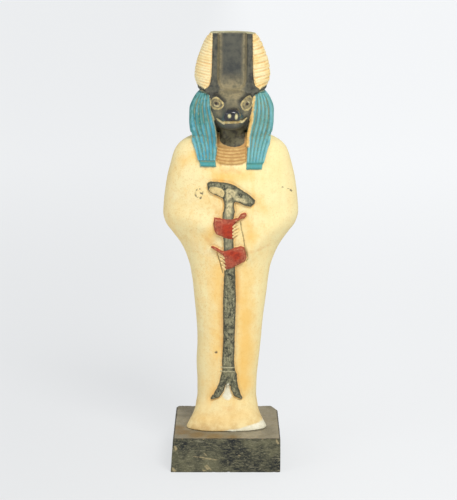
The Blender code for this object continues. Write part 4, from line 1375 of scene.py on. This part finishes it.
colour = tinted(
    colour,
    (by_place("Z", 0.046, 0.022, 0.0, 0.7), toned((234, 210, 152), (216, 182, 120), 5.0, 0.5)),
    (times(scuff, by_place("X", 0.006, -0.018, 0.15, 0.6)), (168, 128, 74)),
    # Painted shade: a deeper orange down the hollows
    (times(ramped(hollow, 0.10, 0.40), 0.35), (214, 158, 88)),
)

hair = toned((250, 232, 180), (244, 214, 146), 5.0, 0.8)
hair = wear_and_highlight(hair, (224, 160, 84), -0.05, 0.07, 0.02, 0.62, 4.0, 0.45, 0.9)
# Painted shade: the ears' hair greyer towards -x
hair = mixed(shaded_side, hair, (222, 212, 172))
# Painted shade: darker brown down the hollows between the collar's rolls
rolls = mixed(ramped(hollow, -0.06, 0.12), toned((214, 176, 110), (190, 146, 82), 2.4, 0.5), (174, 124, 66))

# Grey green on the sceptre, darker along its edges, with the light stone showing through
fibres = ramped(noise_of(950.0, 4.0, 0.7, 0.0, (1.0, 1.0, 0.4)), 0.50, 0.62, 0.0, 0.65)
green = mixed(fibres, toned((126, 123, 95), (48, 51, 44), 2.8, 0.4), (166, 161, 128))
green = tinted(
    wear_and_highlight(green, (208, 200, 158), 0.05, -0.30, 0.30, 0.42, 1.0, 0.08, 0.8),
    (times(by_place("Z", 0.1225, 0.1240, 0.0, 0.35), by_place("Z", 0.1500, 0.1440)), (178, 170, 136)),
    (ramped(kept("staff"), 1.6, 0.4, 0.0, 0.8), toned((82, 82, 66), (44, 47, 42), 1.2, 0.4)),
)

# Red hands: dull and rubbed pink at the edges, brighter where the brush was full
dull = toned((180, 88, 64), (146, 66, 48), 1.8, 0.4)
dull = wear_and_highlight(dull, (208, 158, 116), 0.1, -0.35, 0.30, 0.46, 1.2, 0.18, 0.75)
bright = brush(dull, ("bright", toned((184, 62, 34), (150, 50, 32), 1.6, 0.5), 0.7, 1.6, 0.8, 1.0))
bright = wear_and_highlight(bright, (206, 130, 90), 0.1, -0.35, 0.18, 0.36, 1.0, 0.2, 0.6)

# Turquoise on the wig, with tan showing down the cuts; painted highlights pale the crests of the rolls, and painted
# shade darkens the cuts
by_strand = noise_of(460.0, 2.0, 0.5, 0.2, (1.0, 1.0, 0.08))
teal = tinted(
    toned((110, 172, 170), (78, 140, 132), 4.5, 0.6),
    (ramped(by_strand, 0.46, 0.60, 0.0, 0.6), (56, 148, 176)),
    (ramped(by_strand, 0.46, 0.36, 0.0, 0.6), (60, 130, 122)),
    (by_place("Z", 0.196, 0.176, 0.0, 0.22), (104, 184, 208)),
    # Painted shade: greyer teal high on the side towards -x
    (times(shaded_side, by_place("Z", 0.186, 0.198)), (70, 122, 116)),
    # Painted light: paler teal towards +x
    (by_place("X", 0.002, 0.012, 0.0, 0.3), (150, 196, 184)),
)
# Painted highlight: pale blue flecks on the crests of the rolls
teal = wear_and_highlight(teal, (156, 206, 212), -0.03, -0.13, 0.14, 0.66, 5.0, 0.5, 0.8)
# Painted shade: darker teal down the cuts
teal = mixed(ramped(hollow, 0.0, 0.11, 0.0, 0.75), teal, (46, 112, 110))
teal = wear_and_highlight(teal, (166, 158, 116), 0.03, 0.13, 0.0, 0.60, 3.0, 0.3, 0.65)
teal = mixed(by_place("Z", 0.1722, 0.1708, 0.0, 0.6), teal, (64, 146, 140))

# Black on the head and ears, worn to brown down the panel's sides and over the ridges, brown on the brow as rubbed
# paint and painted light, and darker in the hollows as painted shade
black = toned((98, 96, 82), (60, 61, 58), 3.5, 0.6)
black = wear_and_highlight(black, (166, 150, 112), 0.0, -0.25, 0.16, 0.46, 2.2, 0.25, 0.8)
browned = toned((162, 148, 112), (116, 110, 86), 2.4, 0.35)
in_panel = brushed_in("panel", 0.2, 1.6, 0.4)
panel_wear = math_of("MAXIMUM", ramped(kept("panel"), 3.2, 0.8), by_place("Z", 0.2200, 0.2110))
black = tinted(
    black,
    (in_panel, toned((90, 90, 80), (60, 63, 62), 7.0, 0.4)),
    (times(times(panel_wear, in_panel), 0.8), browned),
)
black = tinted(
    # Rubbed paint and painted light: the black brushed to brown on the forehead, bridge and cheeks
    brush(black, ("brown", browned, 0.6, 2.4, 0.9, 0.88)),
    (by_place("Z", 0.2065, 0.2035, 0.0, 0.4), (98, 98, 86)),
    (by_place("Z", 0.1912, 0.1880, 0.0, 0.85), toned((104, 98, 70), (58, 52, 38), 2.2, 0.5)),
    # Painted shade: darker black down the hollows
    (ramped(hollow, 0.08, 0.30, 0.0, 0.7), (44, 43, 38)),
)
gilt = toned((238, 196, 116), (206, 160, 88), 2.4, 0.4)
gilt = mixed(by_place("X", 0.0, -0.002, 0.0, 0.85), gilt, (138, 148, 108))

# The coats in the order in which they lie, from the stone outwards
colour = brush(
    colour,
    ("hair", hair, 0.2, 1.6, CRISP, 1.0),
    ("collar", rolls, 0.4, 1.6, 0.5, 0.9),
    ("staff", green, 0.16, 1.6, CRISP, 1.0),
    ("thin", toned((224, 208, 158), (136, 128, 98), 1.1, 0.35, 0.53), 0.25, 1.3, 0.5, 0.85),
    ("bare", toned((220, 196, 138), (178, 156, 106), 1.4, 0.4, 0.54), 0.1, 1.0, CRISP, 1.0),
    ("ribs", (96, 90, 70), 0.1, 0.8, 0.2, 0.6),
    ("rings", toned((196, 188, 152), (120, 118, 92), 1.2, 0.4), 0.1, 0.8, CRISP, 0.8),
    ("hand", dull, 0.14, 1.1, CRISP, 1.0),
    ("hand", bright, 0.14, 1.1, CRISP, 1.0),
    ("knuckles", (140, 62, 44), 0.14, 0.9, CRISP, 0.8),
    ("ends", (240, 214, 154), 0.08, 0.9, CRISP, 1.0),
    ("lines", (128, 108, 70), 0.24, 1.2, CRISP, 0.75),
    ("marks", (74, 66, 58), 0.16, 0.6, CRISP, 0.85),
    ("chalk", toned((246, 241, 218), (228, 222, 194), 3.0, 0.6), 0.3, 2.2, 0.4, 1.0),
    ("wig", teal, 0.2, 1.6, CRISP, 1.0),
    ("dark", black, 0.2, 1.6, CRISP, 1.0),
)
# Pale lines on the bars' edges and the panel's foot: rubbed paint, and a painted highlight
trimmed = brush(colour, ("trim", (190, 172, 124), 0.2, 1.2, 0.4, 1.0))
colour = mixed(math_of("MULTIPLY_ADD", flecked(0.38, 2.4, 0.3), 0.6, 0.25), colour, trimmed)
colour = brush(
    colour,
    ("nose", (34, 35, 40), 0.2, 1.6, 0.4, 1.0),
    # Painted shade: dark along the brows, over the deep-set eyes
    ("brows", (50, 48, 42), 0.5, 1.4, 0.6, 0.8),
    ("sockets", toned((136, 126, 98), (98, 92, 76), 1.4, 0.4), 0.2, 1.6, 0.3, 0.9),
    ("pupils", (58, 50, 44), 0.2, 1.0, 0.3, 1.0),
    ("glints", (202, 194, 156), 0.1, 0.8, CRISP, 0.9),
    ("eyes", toned((216, 196, 134), (160, 144, 98), 1.8, 0.4), 0.1, 0.9, CRISP, 1.0),
    ("mouth", toned((240, 226, 172), (208, 180, 116), 2.0, 0.4), 0.1, 1.0, CRISP, 1.0),
    ("gold", gilt, 0.1, 0.9, CRISP, 1.0),
    ("nostrils", (218, 210, 156), 0.08, 0.9, 0.3, 1.0),
)

up = axes_of(node("ShaderNodeNewGeometry").outputs["Normal"])["Z"]
flat_top = times(by_place("Z", 0.23880, 0.23905), ramped(up, 0.6, 0.9))
colour = mixed(flat_top, colour, toned((206, 200, 156), (176, 168, 126), 4.0, 0.6))
fill(shader.inputs["Base Color"], colour)
nose_mask = brushed_in("nose", 0.2, 1.6, 0.4)
matt = ramped(brushed_in("dark", 0.2, 1.6, CRISP), 0.0, 1.0, 0.72, 0.55)
fill(shader.inputs["Roughness"], math_of("MULTIPLY_ADD", nose_mask, -0.30, matt))
fill(shader.inputs["Coat Weight"], times(nose_mask, 0.7))
fill(shader.inputs["Coat Roughness"], 0.12)
relief = math_of("ADD", times(noise_of(1100.0, 5.0, 0.7), 0.55), times(noise_of(260.0, 3.0), 0.45))
bumped(shader, relief, 0.4, 0.0005)
carving.materials.clear()
carving.materials.append(paint)
carving.shade_smooth()
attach(figure, "root")
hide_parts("figure")

# --------------------------------------------------------------------------------------------------
# The table and the light: a pale sheet of paper under a soft bright room, seen from a little above.

FLOOR_REACH = 12.0
PAPER_GLOW = (0.615, 0.745)
PAPER_TONES = ((0.78, 0.80, 0.82, 1), (0.82, 0.83, 0.85, 1))
PAPER_IN_VIEW = (0.22, 0.223, 0.226, 1)
SKY_COLOUR = (0.96, 0.98, 1.0, 1)
SKY_STRENGTH = 0.48
# Each lamp: place, width, strength and colour
LAMPS = (
    ("key light", (0.36, -0.80, 1.0), 0.5, 9.6, (1.0, 0.98, 0.95)),
    ("fill light", (-0.9, -0.7, 0.5), 0.8, 3.4, (0.97, 0.98, 1.0)),
)
LIT_SPOT = (0, 0, 0.12)
CAMERA_PLACE = (0.0017, -0.830, 0.287)
CAMERA_PITCH = 11.42
CAMERA_LENS = 109.4

mesh = bpy.data.meshes.new("floor")
floor_corners = [(x * FLOOR_REACH, y * FLOOR_REACH, 0) for x, y in ((-1, -1), (1, -1), (1, 1), (-1, 1))]
mesh.from_pydata(floor_corners, [], [(0, 1, 2, 3)])
floor = held("floor", mesh)
paper, shader = material_with("pale paper", 0.85)
to_camera = node("ShaderNodeLightPath").outputs["Is Camera Ray"]
sheet = mixed(noise_of(3.0, 2.0), PAPER_TONES[0], PAPER_TONES[1])
fill(shader.inputs["Base Color"], mixed(to_camera, sheet, PAPER_IN_VIEW))
fill(shader.inputs["Emission Color"], (0.97, 0.985, 1.0, 1))
place = axes_of(node("ShaderNodeTexCoord").outputs["Object"])
glow = math_of("ADD", ramped(place["Y"], -0.1, 1.3, *PAPER_GLOW), ramped(place["X"], -0.12, 0.12, -0.015, 0.06))
fill(shader.inputs["Emission Strength"], times(to_camera, glow))
mesh.materials.append(paper)

world = bpy.data.worlds.new("soft room")
bpy.context.scene.world = world
world.use_nodes = True
sky = world.node_tree.nodes["Background"].inputs
sky["Color"].default_value = SKY_COLOUR
sky["Strength"].default_value = SKY_STRENGTH
for name, place, size, strength, tint in LAMPS:
    lamp = bpy.data.lights.new(name, "AREA")
    lamp.shape, lamp.size, lamp.energy, lamp.color = "DISK", size, strength, tint
    holder = held(name, lamp)
    holder.location = place
    holder.rotation_euler = (Vector(LIT_SPOT) - Vector(place)).to_track_quat("-Z", "Y").to_euler()

lens = bpy.data.cameras.new("camera")
lens.lens = CAMERA_LENS
camera = held("camera", lens)
camera.location = CAMERA_PLACE
camera.rotation_euler = (math.radians(90 - CAMERA_PITCH), 0, 0)
bpy.context.scene.camera = camera
bpy.context.scene.view_settings.view_transform = "Standard"
